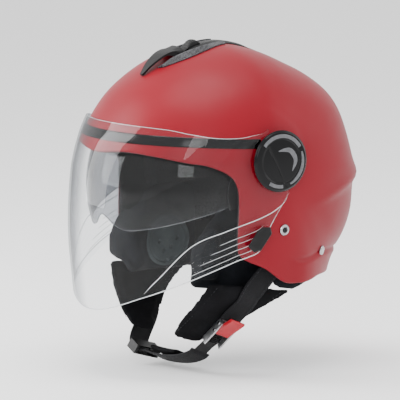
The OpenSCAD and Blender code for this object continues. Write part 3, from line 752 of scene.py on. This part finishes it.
# the [forward, height] rows below run up to VISOR_REACH; VISOR_TURN is in degrees
VISOR_REACH, VISOR_TURN = 140, 94.5
VISOR_FRONT = [[-150, 140], [-124, 143], [-90, 147], [-55, 147.5], [-17.5, 144],
               [0, 139.5], [11, 135.5], [20, 131.5], [34, 123]]
VISOR_LOW = [[-12, -31], [9, -63], [19, -85], [32, -92], [42, -95], [80, -112], [119, -132],
             [134, -143], [140, -149]]
VISOR_HIGH = [[-12, -14], [9.4, -13], [11, 26], [21, 27.5], [42, 24.5], [66, 24.5], [93, 28.5],
              [108, 31.5], [124, 33], [140, 34]]
VISOR_CREASE = [[-12, -36], [9, -50], [53, -66], [81.5, -80], [110, -116], [122, -134],
                [134, -143], [140, -149]]


def visor_point(turn, z, off=0.0):
    """A point of the visor's outer face; turn is from the front round to the left ear."""
    front = curve(VISOR_FRONT, z) + off
    return np.stack([(VISOR_W + off) * np.sin(turn), -front * np.cos(turn), z], -1)


def visor_lines(cols):
    """Turns from ear to ear, how far forward the visor is there, its lower edge, crease and upper edge."""
    turn = np.radians(np.linspace(-VISOR_TURN, VISOR_TURN, cols))
    front = VISOR_REACH * np.cos(turn)
    low = curve(VISOR_LOW, front)
    return turn, front, low, np.maximum(curve(VISOR_CREASE, front), low + 0.5), curve(VISOR_HIGH, front)


def visor_grid(off, cols, low_rows, high_rows):
    """The visor's face: rows from the lower edge to the crease, then to the upper edge."""
    turn, front, low, crease, high = visor_lines(cols)
    rows = []
    for k in range(low_rows):
        f = k / low_rows
        z = mix(low, crease, f)
        # the strip under the crease leans in, with fine ribs along it
        lean = -0.16 * (crease - z) * smooth(-12, 30, front)
        wide = smooth(6, 22, crease - low)
        ribs = 0.42 * wide * bell((f * 6.5 + 0.25) % 1 - 0.5, 0.13) * (1 - smooth(0.78, 0.9, f))
        ribs = ribs * smooth(4, 26, front) * (1 - smooth(96, 116, front))
        p = visor_point(turn, z, off)
        rows.append(p + unit(p * [1, 1, 0]) * (lean + (ribs if off == 0 else 0))[:, None])
    for k in range(high_rows + 1):
        rows.append(visor_point(turn, mix(crease, high, k / high_rows), off))
    return np.array(rows)


def make_visor(material):
    grids = [visor_grid(off, 220, 60, 50) for off in (0.0, -VISOR_T)]
    stands_for(sheet_piece("visor_clear", *grids, material, 30), "visor")


def bead(points, radius):
    """Rings of a round bead along a path."""
    d = unit(np.gradient(points, axis=0))
    out = unit(points * [1, 1, 0])
    side = unit(np.cross(d, out))
    size = np.asarray(radius, float).reshape(-1, 1, 1)
    return rings_round(points, size, full_turn(8), out, side)


def make_visor_highlights(material):
    """Pale beads that paint highlights: round the visor, along its crease and on the ribs below it."""
    half_cols = 130
    turn, front, low, crease, high = visor_lines(2 * half_cols)
    parts = []

    def line(name, turns, z, radius, off):
        f = np.linspace(0, 1, len(turns))
        radius = radius * np.minimum(1, 0.15 + 12 * f) * np.minimum(1, 0.15 + 12 * f[::-1])
        parts.append(ring_piece(name, bead(visor_point(turns, z, off), radius), material, sharp=180))

    line("low_edge_highlight", turn, low + 0.3, 0.52, -0.9)
    upper = front > 19
    line("high_edge_highlight", turn[upper], high[upper] - 0.3, 0.3, -0.9)
    for side in (1, -1):
        half = turn[half_cols:] * side
        f, bottom, top = front[half_cols:], low[half_cols:], crease[half_cols:]
        keep = (f < 118) & (f > -10)
        line(f"crease_{side}", half[keep], top[keep], 0.46, 0.35)
        for k in range(4):
            keep = (f < 86 - 9 * k) & (f > 14)
            level = bottom + (top - bottom) * (0.14 + 0.17 * k)
            line(f"rib_{side}_{k}", half[keep], level[keep], 0.27, 0.15 - 0.1 * (top - bottom)[keep])
    goes_with(join("visor_highlight_beads", parts), "visor")


def painted_edge_highlight(name="painted_edge_highlight", colour=(0.75, 0.77, 0.78)):
    """Painted highlight for the edges of clear plastic: a pale colour, part see-through, standing in for
    the light the edges catch.
    """
    m = principled(name, colour, 0.12, Alpha=0.5)
    vary(m, "Roughness", noise(m, 300), 0.08, 0.2)
    vary(m, "Alpha", noise(m, 45), 0.3, 0.75)
    return m


def make_tab(material):
    """Chamfered lifting tab on the visor's lower rear corner: two facets."""
    low = [(-24.6, -66.6), (-18.7, -63), (-10.6, -63.6), (-9.4, -69.7), (-21, -85.6),
           (-28.1, -87.1), (-34, -81.1)]
    ridge = [(-23.2, -67.6), (-18.6, -65.2), (-12.6, -65.4), (-11.6, -69.8), (-21.6, -83.6),
             (-26.2, -84.8), (-30.6, -80.6)]

    def on_visor(yz, off):
        y, z = np.array(yz, float).T
        front = curve(VISOR_FRONT, z)
        turn = math.pi / 2 - np.arcsin(np.clip(-y / front, -1, 1))
        p = visor_point(turn, z)
        return p + unit(p * [1 / VISOR_W**2, 1 / VISOR_LONG**2, 0]) * np.reshape(off, (-1, 1))

    rings = [on_visor(low, 0.1), on_visor(low, 1.8), on_visor(ridge, [2.6, 3.6, 4.6, 4.6, 4.4, 3.4, 2.4])]
    piece = ring_piece("lift_tab", rings, material, sharp=20)
    bevel(piece, 0.5, 2, 18)
    stands_for(piece, "visor_tab")


# --- Sun visor ---

SUN_Y, SUN_Z, SUN_R, SUN_W, SUN_T = -9.7, -33.5, 119.0, 104.0, 2.0
# degrees: how far it goes round to the sides, and where its upper and lower edges lie
SUN_TURN, SUN_HIGH, SUN_LOW, NOSE_DIP = 73.5, 153, 199.3, 8


def make_sun_visor(material, edge):
    side = np.radians(np.linspace(-SUN_TURN, SUN_TURN, 181))
    v = np.linspace(0, 1, 60)
    s, f = np.meshgrid(side, v)
    x = SUN_W * np.sin(s)
    low = SUN_LOW - NOSE_DIP * bell(x, 17)
    high = SUN_HIGH - 25 * (x / 100) ** 2
    turn = np.radians(mix(high, low, f))

    def at(off):
        q = (SUN_R + off) * np.cos(s)
        return np.stack([(SUN_W + off) * np.sin(s), SUN_Y + q * np.cos(turn),
                         SUN_Z + q * np.sin(turn)], -1)

    stands_for(sheet_piece("sun_visor_tinted", at(0), at(-SUN_T), material, 30), "sun_visor")
    # a grey bead along the lower edge, its colour a painted highlight
    line = at(-SUN_T / 2)[-1][3:-3]
    goes_with(ring_piece("sun_visor_edge_highlight", bead(line, 0.45), edge, sharp=180), "sun_visor")


# --- Pivot covers ---

COVER_X, COVER_R, INLAY_R = 123.6, 30.0, 24.6


def cover_height(r, y, z):
    """Outer face of a pivot cover: domed, with a bevelled rim and a ring groove."""
    dome = 3.1 - 1.1 * (r / COVER_R) ** 2
    rim = -1.6 * smooth(27.6, 30, r)
    groove = -0.35 * bell(r - 21.6, 0.35)
    # a slanting groove, and a panel in front of it that lies a little lower
    line = y - (-6.8 - 0.515 * z)
    step = -0.5 * (1 - smooth(-0.5, 0.5, line)) * (1 - smooth(20.6, 21.4, r))
    step = step - 0.7 * bell(line, 0.55) * (1 - smooth(24, 27, r))
    return dome + rim + groove + step


def make_covers(gloss, grey):
    r, a = grid(np.concatenate([np.linspace(0.4, 20, 40, endpoint=False), np.linspace(20, COVER_R, 40)]),
                full_turn(180))
    y, z = r * np.cos(a), r * np.sin(a)
    front = np.stack([COVER_X + cover_height(r, y, z), y, z], -1)
    back = np.stack([np.full_like(y, COVER_X + 0.05), y, z], -1)[::-1]
    rows = np.concatenate([front, back])
    along, across = np.linspace(-1, 1, 60), np.linspace(-1, 1, 9)[None]

    def raised(y, z):
        """Two grids between which a mark stands a little above the cover."""
        base = COVER_X + cover_height(np.hypot(y, z), y, z)
        crown = 0.32 * (1 - across ** 6)
        return np.stack([base + 0.08 + crown, y, z], -1), np.stack([base - 0.2, y, z], -1)

    def band(a0, a1, wide, taper):
        """A strip along the rim; its width may taper to its ends."""
        t = np.radians(np.linspace(a0, a1, 60))[:, None]
        r = INLAY_R + wide / 2 * (1 - taper * np.abs(along) ** 2.2)[:, None] * across
        return raised(r * np.cos(t), r * np.sin(t))

    def chevron():
        """A bent mark on the panel's rear half, pointed at both ends."""
        line = path([[-3.9, 10, 0], [3, 10.9, 0], [9.4, 10.2, 0], [14.6, 4.4, 0], [15.8, -0.4, 0],
                     [14.4, -5, 0], [12, -10, 0]], 60)
        d = unit(np.gradient(line, axis=0))
        half = 2.5 * (1 - 0.85 * np.abs(along) ** 2)[:, None] * across
        return raised(line[:, :1] - d[:, 1:2] * half, line[:, 1:2] + d[:, :1] * half)

    bands = [band(32, 141, 3.6, 0.0), band(-66, 20, 3.6, 0.55), band(-123, -86, 3.4, 0.0), chevron()]
    for side, word in SIDES:
        flip = np.array([side, 1, 1])
        stands_for(tube_piece(f"pivot_cap_{word}", rows * flip, gloss), f"pivot_cover_{word}")
        strips = [sheet_piece(f"inlay_{word}_{k}", top * flip, under * flip, grey)
                  for k, (top, under) in enumerate(bands)]
        stands_for(join(f"pivot_marks_{word}", strips), f"pivot_inlay_{word}")


def join(name, parts):
    """One object from several."""
    with bpy.context.temp_override(active_object=parts[0], selected_objects=parts,
                                   selected_editable_objects=parts):
        bpy.ops.object.join()
    parts[0].name = name
    parts[0].data.name = name
    return parts[0]


# --- Padding ---

HEAD_W, HEAD_L, HEAD_H, HEAD_Y, HEAD_Z, PAD_T = 76.0, 98.0, 98.0, 8.0, -30.0, 7.6
CHEEK_FRONT, CHEEK_BACK, CHEEK_LOW, CHEEK_HIGH = -64.5, 26.5, -130.5, -43.5
EAR_Y, EAR_Z, EAR_LONG, EAR_HIGH = -16, -98, 28.6, 25.6


def head_ray(d, more):
    """Where rays from the origin meet the head's surface, grown by more."""
    def level(p):
        return ((p[..., 0] / (HEAD_W + more)) ** 2 + ((p[..., 1] - HEAD_Y) / (HEAD_L + more)) ** 2
                + (np.maximum(0, p[..., 2] - HEAD_Z) / (HEAD_H + more)) ** 2)

    return first_hit(np.zeros_like(d), d, level)


def head_x(y, more):
    return (HEAD_W + more) * np.sqrt(np.maximum(0, 1 - ((y - HEAD_Y) / (HEAD_L + more)) ** 2))


def puff(piece, cap, voxel):
    """Swells a pad by cloth simulation, its points moving no further than cap, in mm."""
    remesh = piece.modifiers.new("remesh", "REMESH")
    remesh.mode, remesh.voxel_size = "VOXEL", voxel * MM
    apply_modifiers(piece)
    before = vertices(piece.data)
    cloth = piece.modifiers.new("cloth", "CLOTH")
    cloth.settings.use_pressure = True
    cloth.settings.uniform_pressure_force = 4.0
    cloth.settings.effector_weights.gravity = 0
    cloth.settings.mass = 0.3
    scene = bpy.context.scene
    for step in range(1, 21):
        scene.frame_set(step)
        bpy.context.view_layer.update()
    apply_modifiers(piece)
    scene.frame_set(1)
    moved = vertices(piece.data) - before
    far = np.maximum(np.linalg.norm(moved, axis=1, keepdims=True) / (cap * MM), 1)
    set_vertices(piece, before + moved / far)
    piece.data.shade_smooth()


def apply_modifiers(piece):
    graph = bpy.context.evaluated_depsgraph_get()
    mesh = bpy.data.meshes.new_from_object(piece.evaluated_get(graph))
    piece.modifiers.clear()
    piece.data = mesh


def vertices(mesh):
    co = np.empty(len(mesh.vertices) * 3)
    mesh.vertices.foreach_get("co", co)
    return co.reshape(-1, 3)


def set_vertices(piece, co):
    piece.data.vertices.foreach_set("co", np.asarray(co).ravel())
    piece.data.update()


def subdivide(piece):
    m = piece.modifiers.new("subdivision", "SUBSURF")
    m.levels = m.render_levels = 1


def copy_mirrored(piece, name):
    """The same piece on the helmet's other side."""
    other = piece.copy()
    other.data = piece.data.copy()
    other.name = other.data.name = name
    bpy.context.collection.objects.link(other)
    set_vertices(other, vertices(piece.data) * [-1, 1, 1])
    other.data.flip_normals()
    return other


def cheek_shape(name, material):
    """A cheek pad on the wall of the head room; its front edge slants back towards the top."""
    u, v = grid(np.linspace(-1, 1, 44), np.linspace(-1, 1, 44))
    # rounded corners, with the grid's lines kept apart
    u, v = u * np.sqrt(1 - 0.16 * v**4), v * np.sqrt(1 - 0.16 * u**4)
    z = mix(CHEEK_LOW, CHEEK_HIGH, (v + 1) / 2)
    y = mix(CHEEK_FRONT + 30 * smooth(-95, -40, z), CHEEK_BACK, (u + 1) / 2)
    full = np.sqrt(np.clip((1 - (u / 1.02) ** 6) * (1 - (v / 1.02) ** 6), 0.08, 1))
    wall = head_x(y, PAD_T - 2.1)
    swell = smooth(-126, -112, z) * (1 - smooth(-52, -36, y))
    outer = mix(wall, np.maximum(wall, 88.5), swell)
    inner = mix(outer, wall - 16, full)
    grids = [np.stack([x, y, z], -1) for x in (outer, inner)]
    return sheet_piece(name, *grids, material, 180)


def make_lining(fabric, ear_cloth):
    left = cheek_shape("cheek_cushion_left", fabric)
    puff(left, 2.2, voxel=4.0)
    press_seams(left)
    subdivide(left)
    right = copy_mirrored(left, "cheek_cushion_right")
    for cheek, (side, word) in zip((left, right), SIDES):
        stands_for(cheek, f"cheek_pad_{word}")
        make_ear(side, word, ear_cloth)
    make_crown(fabric)
    make_neck_roll(fabric)


def press_seams(piece):
    """Sinks two sewn channels into a cheek cushion: one round the ear, one above it."""
    co = vertices(piece.data) / MM
    x, y, z = co.T
    radius = np.hypot((y - EAR_Y) / 32, (z - EAR_Z) / 28.5)
    channels = 2.2 * bell(radius - 1.06, 0.07) + 1.6 * bell(z + 66 + 0.25 * y, 2.2)
    co[:, 0] += np.sign(x) * channels * smooth(78, 66, np.abs(x))
    set_vertices(piece, co * MM)


def make_ear(side, word, material):
    """A thin oval ear panel with small round holes."""
    holes = [(-21, -108), (-10, -117), (-18, -118.5), (-11.5, -105), (-27, -98), (-4, -97)]
    r, a = grid(np.linspace(0.02, 1, 60), full_turn(144))
    y, z = EAR_Y + EAR_LONG * r * np.cos(a), EAR_Z + EAR_HIGH * r * np.sin(a)
    height = 3.1 * (1 - 0.85 * r**5) + 0.3
    for hy, hz in holes:
        height = height - 2.2 * (1 - smooth(1.6, 2.3, np.hypot(y - hy, z - hz)))
    seam = 0.8 * bell(r - 0.84, 0.025)
    base = head_x(y, -12.7)
    front = np.stack([(base - height + seam) * side, y, z], -1)
    back = np.stack([base * side, y, z], -1)[::-1]
    piece = tube_piece(f"ear_panel_{word}", np.concatenate([front, back]), material)
    stands_for(piece, f"ear_pocket_{word}")


def make_crown(fabric):
    """Quilted cap of fabric over foam."""
    rim = rim_loop(180)
    reach = np.linspace(0.01, 0.66, 60)
    outer, inner = [], []
    for f in reach:
        d = slerp(POLE[None], rim, f)
        outer.append(head_ray(d, PAD_T - 0.2))
        p = head_ray(d, 0.6)
        quilt = ((0.5 + 0.5 * np.cos(p[:, 0] / 17 * math.pi)) ** 8
                 + (0.5 + 0.5 * np.cos((p[:, 1] - 8) / 22 * math.pi)) ** 8)
        inner.append(p + unit(p) * (2.6 * np.minimum(quilt, 1))[:, None])
    piece = tube_piece("crown_cushion", outer + inner[::-1], fabric)
    stands_for(piece, "crown_pad")


def make_neck_roll(fabric):
    rim = shell_ray(rim_loop(84))[27:58]
    n = unit(rim * [1, 1, 0])
    ends = np.minimum(np.arange(31), np.arange(31)[::-1])
    size = np.minimum(1, 0.5 + 0.15 * ends)[:, None, None]
    a = np.radians(np.arange(0, 360, 22.5))
    mid = rim - n * 17 + [0, 0, -1]
    ring = (7.6 * np.cos(a)[None, :, None] * n[:, None]
            + 9.8 * np.sin(a)[None, :, None] * np.array([0, 0, 1]))
    piece = ring_piece("neck_cushion", mid[:, None] + size * ring, fabric, sharp=180)
    puff(piece, 1.4, voxel=3.4)
    subdivide(piece)
    stands_for(piece, "neck_roll")


def make_trim(material):
    """A rubber strip inside the shell's rim, round-edged."""
    rim = rim_loop(RIM_COUNT)
    edge = shell_ray(rim)
    n = shell_normal(edge)
    out = unit(edge - shell_ray(slerp(POLE[None], rim, 0.99)))
    section = [(3.65, -7), (3.65, 0.2), (4.2, 0.9), (5.2, 0.9), (5.9, 0.2), (5.9, -7)]
    rings = np.stack([edge - n * deep + out * along for deep, along in section], 1)
    stands_for(hoop_piece("edge_trim", rings, material), "rim_trim")


# --- Chin strap ---

SLEEVE_FRONT = np.array([[93, -62, -116], [80, -74, -142], [34, -74, -174]], float)
SLEEVE_REAR = np.array([[98, 34, -130], [88, -4, -152], [38, -40, -188]], float)
STRAP_W, STRAP_T = 22.0, 1.6
STITCH, STITCH_GAP, STITCH_R = 2.6, 1.5, 0.32
BUCKLE_O = np.array([66.5, -34.9, -173.4])
BUCKLE_RUN = unit(np.array([0.66, 0.27, 0.7]))
BUCKLE_FACE = unit(np.cross([0.108, 0.95, -0.3], BUCKLE_RUN))
BUCKLE_WIDE = np.cross(BUCKLE_FACE, BUCKLE_RUN)


def bow(p, f):
    f = np.asarray(f, float)[..., None]
    return p[0] * (1 - f) ** 2 + p[1] * 2 * f * (1 - f) + p[2] * f * f


def sleeve_mid(u, v):
    u = np.asarray(u, float)
    return mix(bow(SLEEVE_FRONT, v), bow(SLEEVE_REAR, v), u[..., None])


def sleeve_normal(u, v):
    u, v = np.broadcast_arrays(np.asarray(u, float), np.asarray(v, float))
    n = unit(np.cross(sleeve_mid(u, v + 0.01) - sleeve_mid(u, v - 0.01),
                      sleeve_mid(u + 0.01, v) - sleeve_mid(u - 0.01, v)))
    return n * np.sign(n[..., :1])


def make_sleeves(fabric, thread):
    u, v = grid(np.linspace(0.02, 0.98, 30), np.linspace(0.02, 0.98, 36))
    # the lower end's corners are rounded off
    end = 0.24 * smooth(0.72, 0.98, v) ** 2
    u = 0.5 + (u - 0.5) * (1 - end)
    v = v - 0.1 * smooth(0.7, 0.98, v) * (2 * u - 1) ** 4
    thick = 2.9 * np.sqrt(np.maximum(0.05, (1 - (2 * u - 1) ** 4) * (1 - (2 * v - 1) ** 8)))[..., None]
    mid, n = sleeve_mid(u, v), sleeve_normal(u, v)
    left = sheet_piece("strap_cushion_left", mid + n * thick, mid - n * thick, fabric, 180)
    puff(left, 1.2, voxel=2.6)
    subdivide(left)
    right = copy_mirrored(left, "strap_cushion_right")
    for piece, (side, word) in zip((left, right), SIDES):
        stands_for(piece, f"strap_sleeve_{word}")
        # a stitched seam inside the cushion's border, sunk by the filling round it
        t = np.linspace(0.06, 0.9, 60)
        for k, u_line in enumerate((0.12, 0.88)):
            u_line = np.full_like(t, u_line)
            out = sleeve_normal(u_line, t)
            line = sleeve_mid(u_line, t) + out * 3.2
            flip = np.array([side, 1, 1])
            stitches(f"sleeve_seam_{word}_{k}", line * flip, out * flip, thread, f"strap_sleeve_{word}")


def strap_piece(name, points, across, material, count=90):
    """Webbing along a path: a flat section with rounded edges, and a UV map for its weave."""
    points, across = np.asarray(points, float), np.asarray(across, float)
    keys = way_along(points)
    at = np.linspace(0, keys[-1], count)
    mid = curve(np.column_stack([keys, points]), at)
    wide = curve(np.column_stack([keys, across]), at)
    d = unit(np.gradient(mid, axis=0))
    n = unit(np.cross(d, wide))
    a = unit(np.cross(n, d))
    w, t = STRAP_W / 2, STRAP_T / 2
    section = [(-w, -0.3), (-w + 0.5, -t), (0, -t), (w - 0.5, -t), (w, -0.3),
               (w, 0.3), (w - 0.5, t), (0, t), (-w + 0.5, t), (-w, 0.3)]
    rings = np.stack([mid + a * s + n * h for s, h in section], 1)
    uv = np.array([[at[i] * MM, (s / w + 1) / 2] for i in range(count) for s, h in section])
    return ring_piece(name, rings, material, sharp=60, uv=uv), mid, a, n


def make_straps(material, pad_fabric, thread):
    def side(end):
        v = np.arange(0.1, end + 0.01, 0.2)
        u = 0.5 + 0.4 * v
        return sleeve_mid(u, v) + sleeve_normal(u, v) * 5.6

    def spot(x, z):
        return BUCKLE_O + BUCKLE_RUN * x + BUCKLE_FACE * z

    left = np.vstack([[[104, 11, -74], [101, 9, -100]], side(0.4), [spot(27, -1.2), spot(19, -0.2)]])
    across = [[0, 1, 0]] * 2 + [[0.1, 0.95, -0.2]] * (len(left) - 4) + [BUCKLE_WIDE * -1] * 2
    piece, mid, a, n = strap_piece("webbing_left", left, across, material)
    stands_for(piece, "chin_strap_left")
    sew_strap("stitch_left", mid, a, n, thread, "chin_strap_left", (0.3, 0.86))
    right = np.vstack([[[-104, 11, -74], [-101, 9, -100]], mirrored(side(0.8)),
                       [[-48, -55, -197], [-24, -53, -204], [0, -51.5, -205],
                        [18, -49.5, -203.5], [31, -47, -201], [42.8, -43.6, -196.2],
                        [46.2, -42.2, -192.9]]])
    across = [[0, 1, 0] if i < 2 else [0, 0.9, -0.42] if i > 6 else [-0.1, 0.95, -0.2]
              for i in range(len(right))]
    piece, mid, a, n = strap_piece("webbing_right", right, across, material, 140)
    stands_for(piece, "chin_strap_right")
    sew_strap("stitch_right", mid, a, n, thread, "chin_strap_right", (0.3, 0.97))
    rail = path([[-22, -50.5, -198.4], [-8, -49.6, -200], [6, -48.6, -200], [20, -47.4, -198]], 24)
    t = np.linspace(0, 1, 24)
    size = 0.72 + 0.2 * np.sin(math.pi * t)
    ang = np.radians(np.arange(0, 360, 22.5))
    wide, up = unit(np.array([0, 0.9, -0.42])), unit(np.array([0, 0.42, 0.9]))
    span = 13 * np.sign(np.cos(ang)) * np.abs(np.cos(ang)) ** 0.7
    rings = rail[:, None] + size[:, None, None] * (
        span[:, None] * wide + 3.3 * np.sin(ang)[:, None] * up)[None]
    pad = ring_piece("chin_cushion", rings, pad_fabric, sharp=180)
    puff(pad, 0.8, voxel=2.4)
    subdivide(pad)
    stands_for(pad, "chin_pad")


def make_stud_centres(material):
    """Dark screw heads sunk in the front studs."""
    p = beside(11.0, -69.0)
    n = shell_normal(p)
    a = unit(np.cross(n, [0, 0, 1.0]))
    b = np.cross(n, a)
    t = full_turn(36)[:, None]
    radii_heights = ((2.6, 0.75), (2.6, 1.15), (2.2, 1.3), (1.2, 1.3), (1.0, 0.95), (0.3, 0.95))
    rings = np.array([p + n * h + r * (np.cos(t) * a + np.sin(t) * b) for r, h in radii_heights])
    for side, word in SIDES:
        piece = ring_piece(f"stud_screw_{word}", rings * [side, 1, 1], material, sharp=40)
        goes_with(piece, "strap_anchors")


def stitches(name, points, normals, material, node):
    """A row of thread stitches lying along a path."""
    keys = way_along(points)

    def between(values, at):
        return np.stack([np.interp(at, keys, column) for column in values.T], -1)

    verts, faces = [], []
    taper = STITCH_R * np.array([0.25, 0.9, 1, 0.9, 0.25])[:, None, None]
    for start in np.arange(1.0, keys[-1] - STITCH, STITCH + STITCH_GAP):
        at = start + STITCH * np.linspace(0, 1, 5)
        mid, n = between(points, at), unit(between(normals, at))
        side = np.cross(unit(mid[-1] - mid[0]), n)
        faces += tube_faces(5, 6, len(verts) * 30)
        verts.append(rings_round(mid, taper, full_turn(6), n, side).reshape(-1, 3))
    return goes_with(new_piece(name, np.concatenate(verts), faces, material), node)


def sew_strap(name, mid, a, n, material, node, span):
    """Two stitch rows along both faces of a strap, over part of its length."""
    lo, hi = int(span[0] * len(mid)), int(span[1] * len(mid))
    for k, (edge, face) in enumerate(((1, 1), (-1, 1), (1, -1), (-1, -1))):
        points = mid + a * edge * (STRAP_W / 2 - 2.2) + n * face * (STRAP_T / 2 + 0.05)
        stitches(f"{name}_{k}", points[lo:hi], n[lo:hi] * face, material, node)


def restyle(node, material, width=0.0, segments=2):
    """Gives a CAD node its finish, and softens its edges a little."""
    piece = frame["nodes"][node]
    piece.data.materials.clear()
    piece.data.materials.append(material)
    if width:
        bevel(piece, width, segments)


def main():
    make_camera()
    make_studio()
    red, gloss, black, grey = red_lacquer(), gloss_black(), satin_black(), grey_inlay()
    fabric = knit("lining_knit", (0.003, 0.0036, 0.0048), (0.007, 0.008, 0.0105))
    pad_fabric = knit("strap_knit", (0.0015, 0.0015, 0.002), (0.004, 0.004, 0.005), 900)
    make_shell(red, satin_black("inner_paint"))
    make_brow(gloss)
    make_vent(black, carbon_black())
    make_slider(black)
    make_covers(gloss, grey)
    make_visor(clear_sheet("clear_plastic", (0.97, 0.975, 0.98), (0.35, 0.37, 0.4), 0.02))
    # pale beads that paint the highlights on the visor's edges, crease and ribs
    make_visor_highlights(painted_edge_highlight())
    make_tab(satin_black("tab_black"))
    # the smoke visor's edge bead is grey as a painted highlight
    make_sun_visor(clear_sheet("smoke_plastic", (0.62, 0.63, 0.65), (0.3, 0.31, 0.33), 0.03),
                   painted_edge_highlight("smoke_edge_highlight", (0.32, 0.33, 0.34)))
    make_trim(rubber())
    make_lining(fabric, mesh_cloth())
    thread = knit("thread", (0.02, 0.02, 0.023), (0.035, 0.035, 0.04), 2400, 0.6)
    make_sleeves(pad_fabric, thread)
    make_straps(webbing(), pad_fabric, thread)
    chrome, brushed = steel("polished_steel", 0.12, 0.32, 0.44), steel("brushed_steel", 0.3)
    restyle("impact_liner", bead_foam())
    for node, material, width in (("strap_anchors", chrome, 0.15), ("rear_studs", chrome, 0.15),
                                  ("buckle_body", brushed, 0.3), ("buckle_pins", chrome, 0.3),
                                  ("ratchet_tongue", black, 0.2), ("sun_pivot_pins", black, 0.2)):
        restyle(node, material, width)
    restyle("buckle_lever", red_plastic(), 0.6, 3)
    restyle("strap_adjuster", black, 0.6, 3)
    make_stud_centres(black)
    for _, word in SIDES:
        restyle(f"pivot_base_{word}", black, 0.2)
        restyle(f"visor_bracket_{word}", gloss, 0.2)
        restyle(f"sun_arm_{word}", black, 0.2)


main()
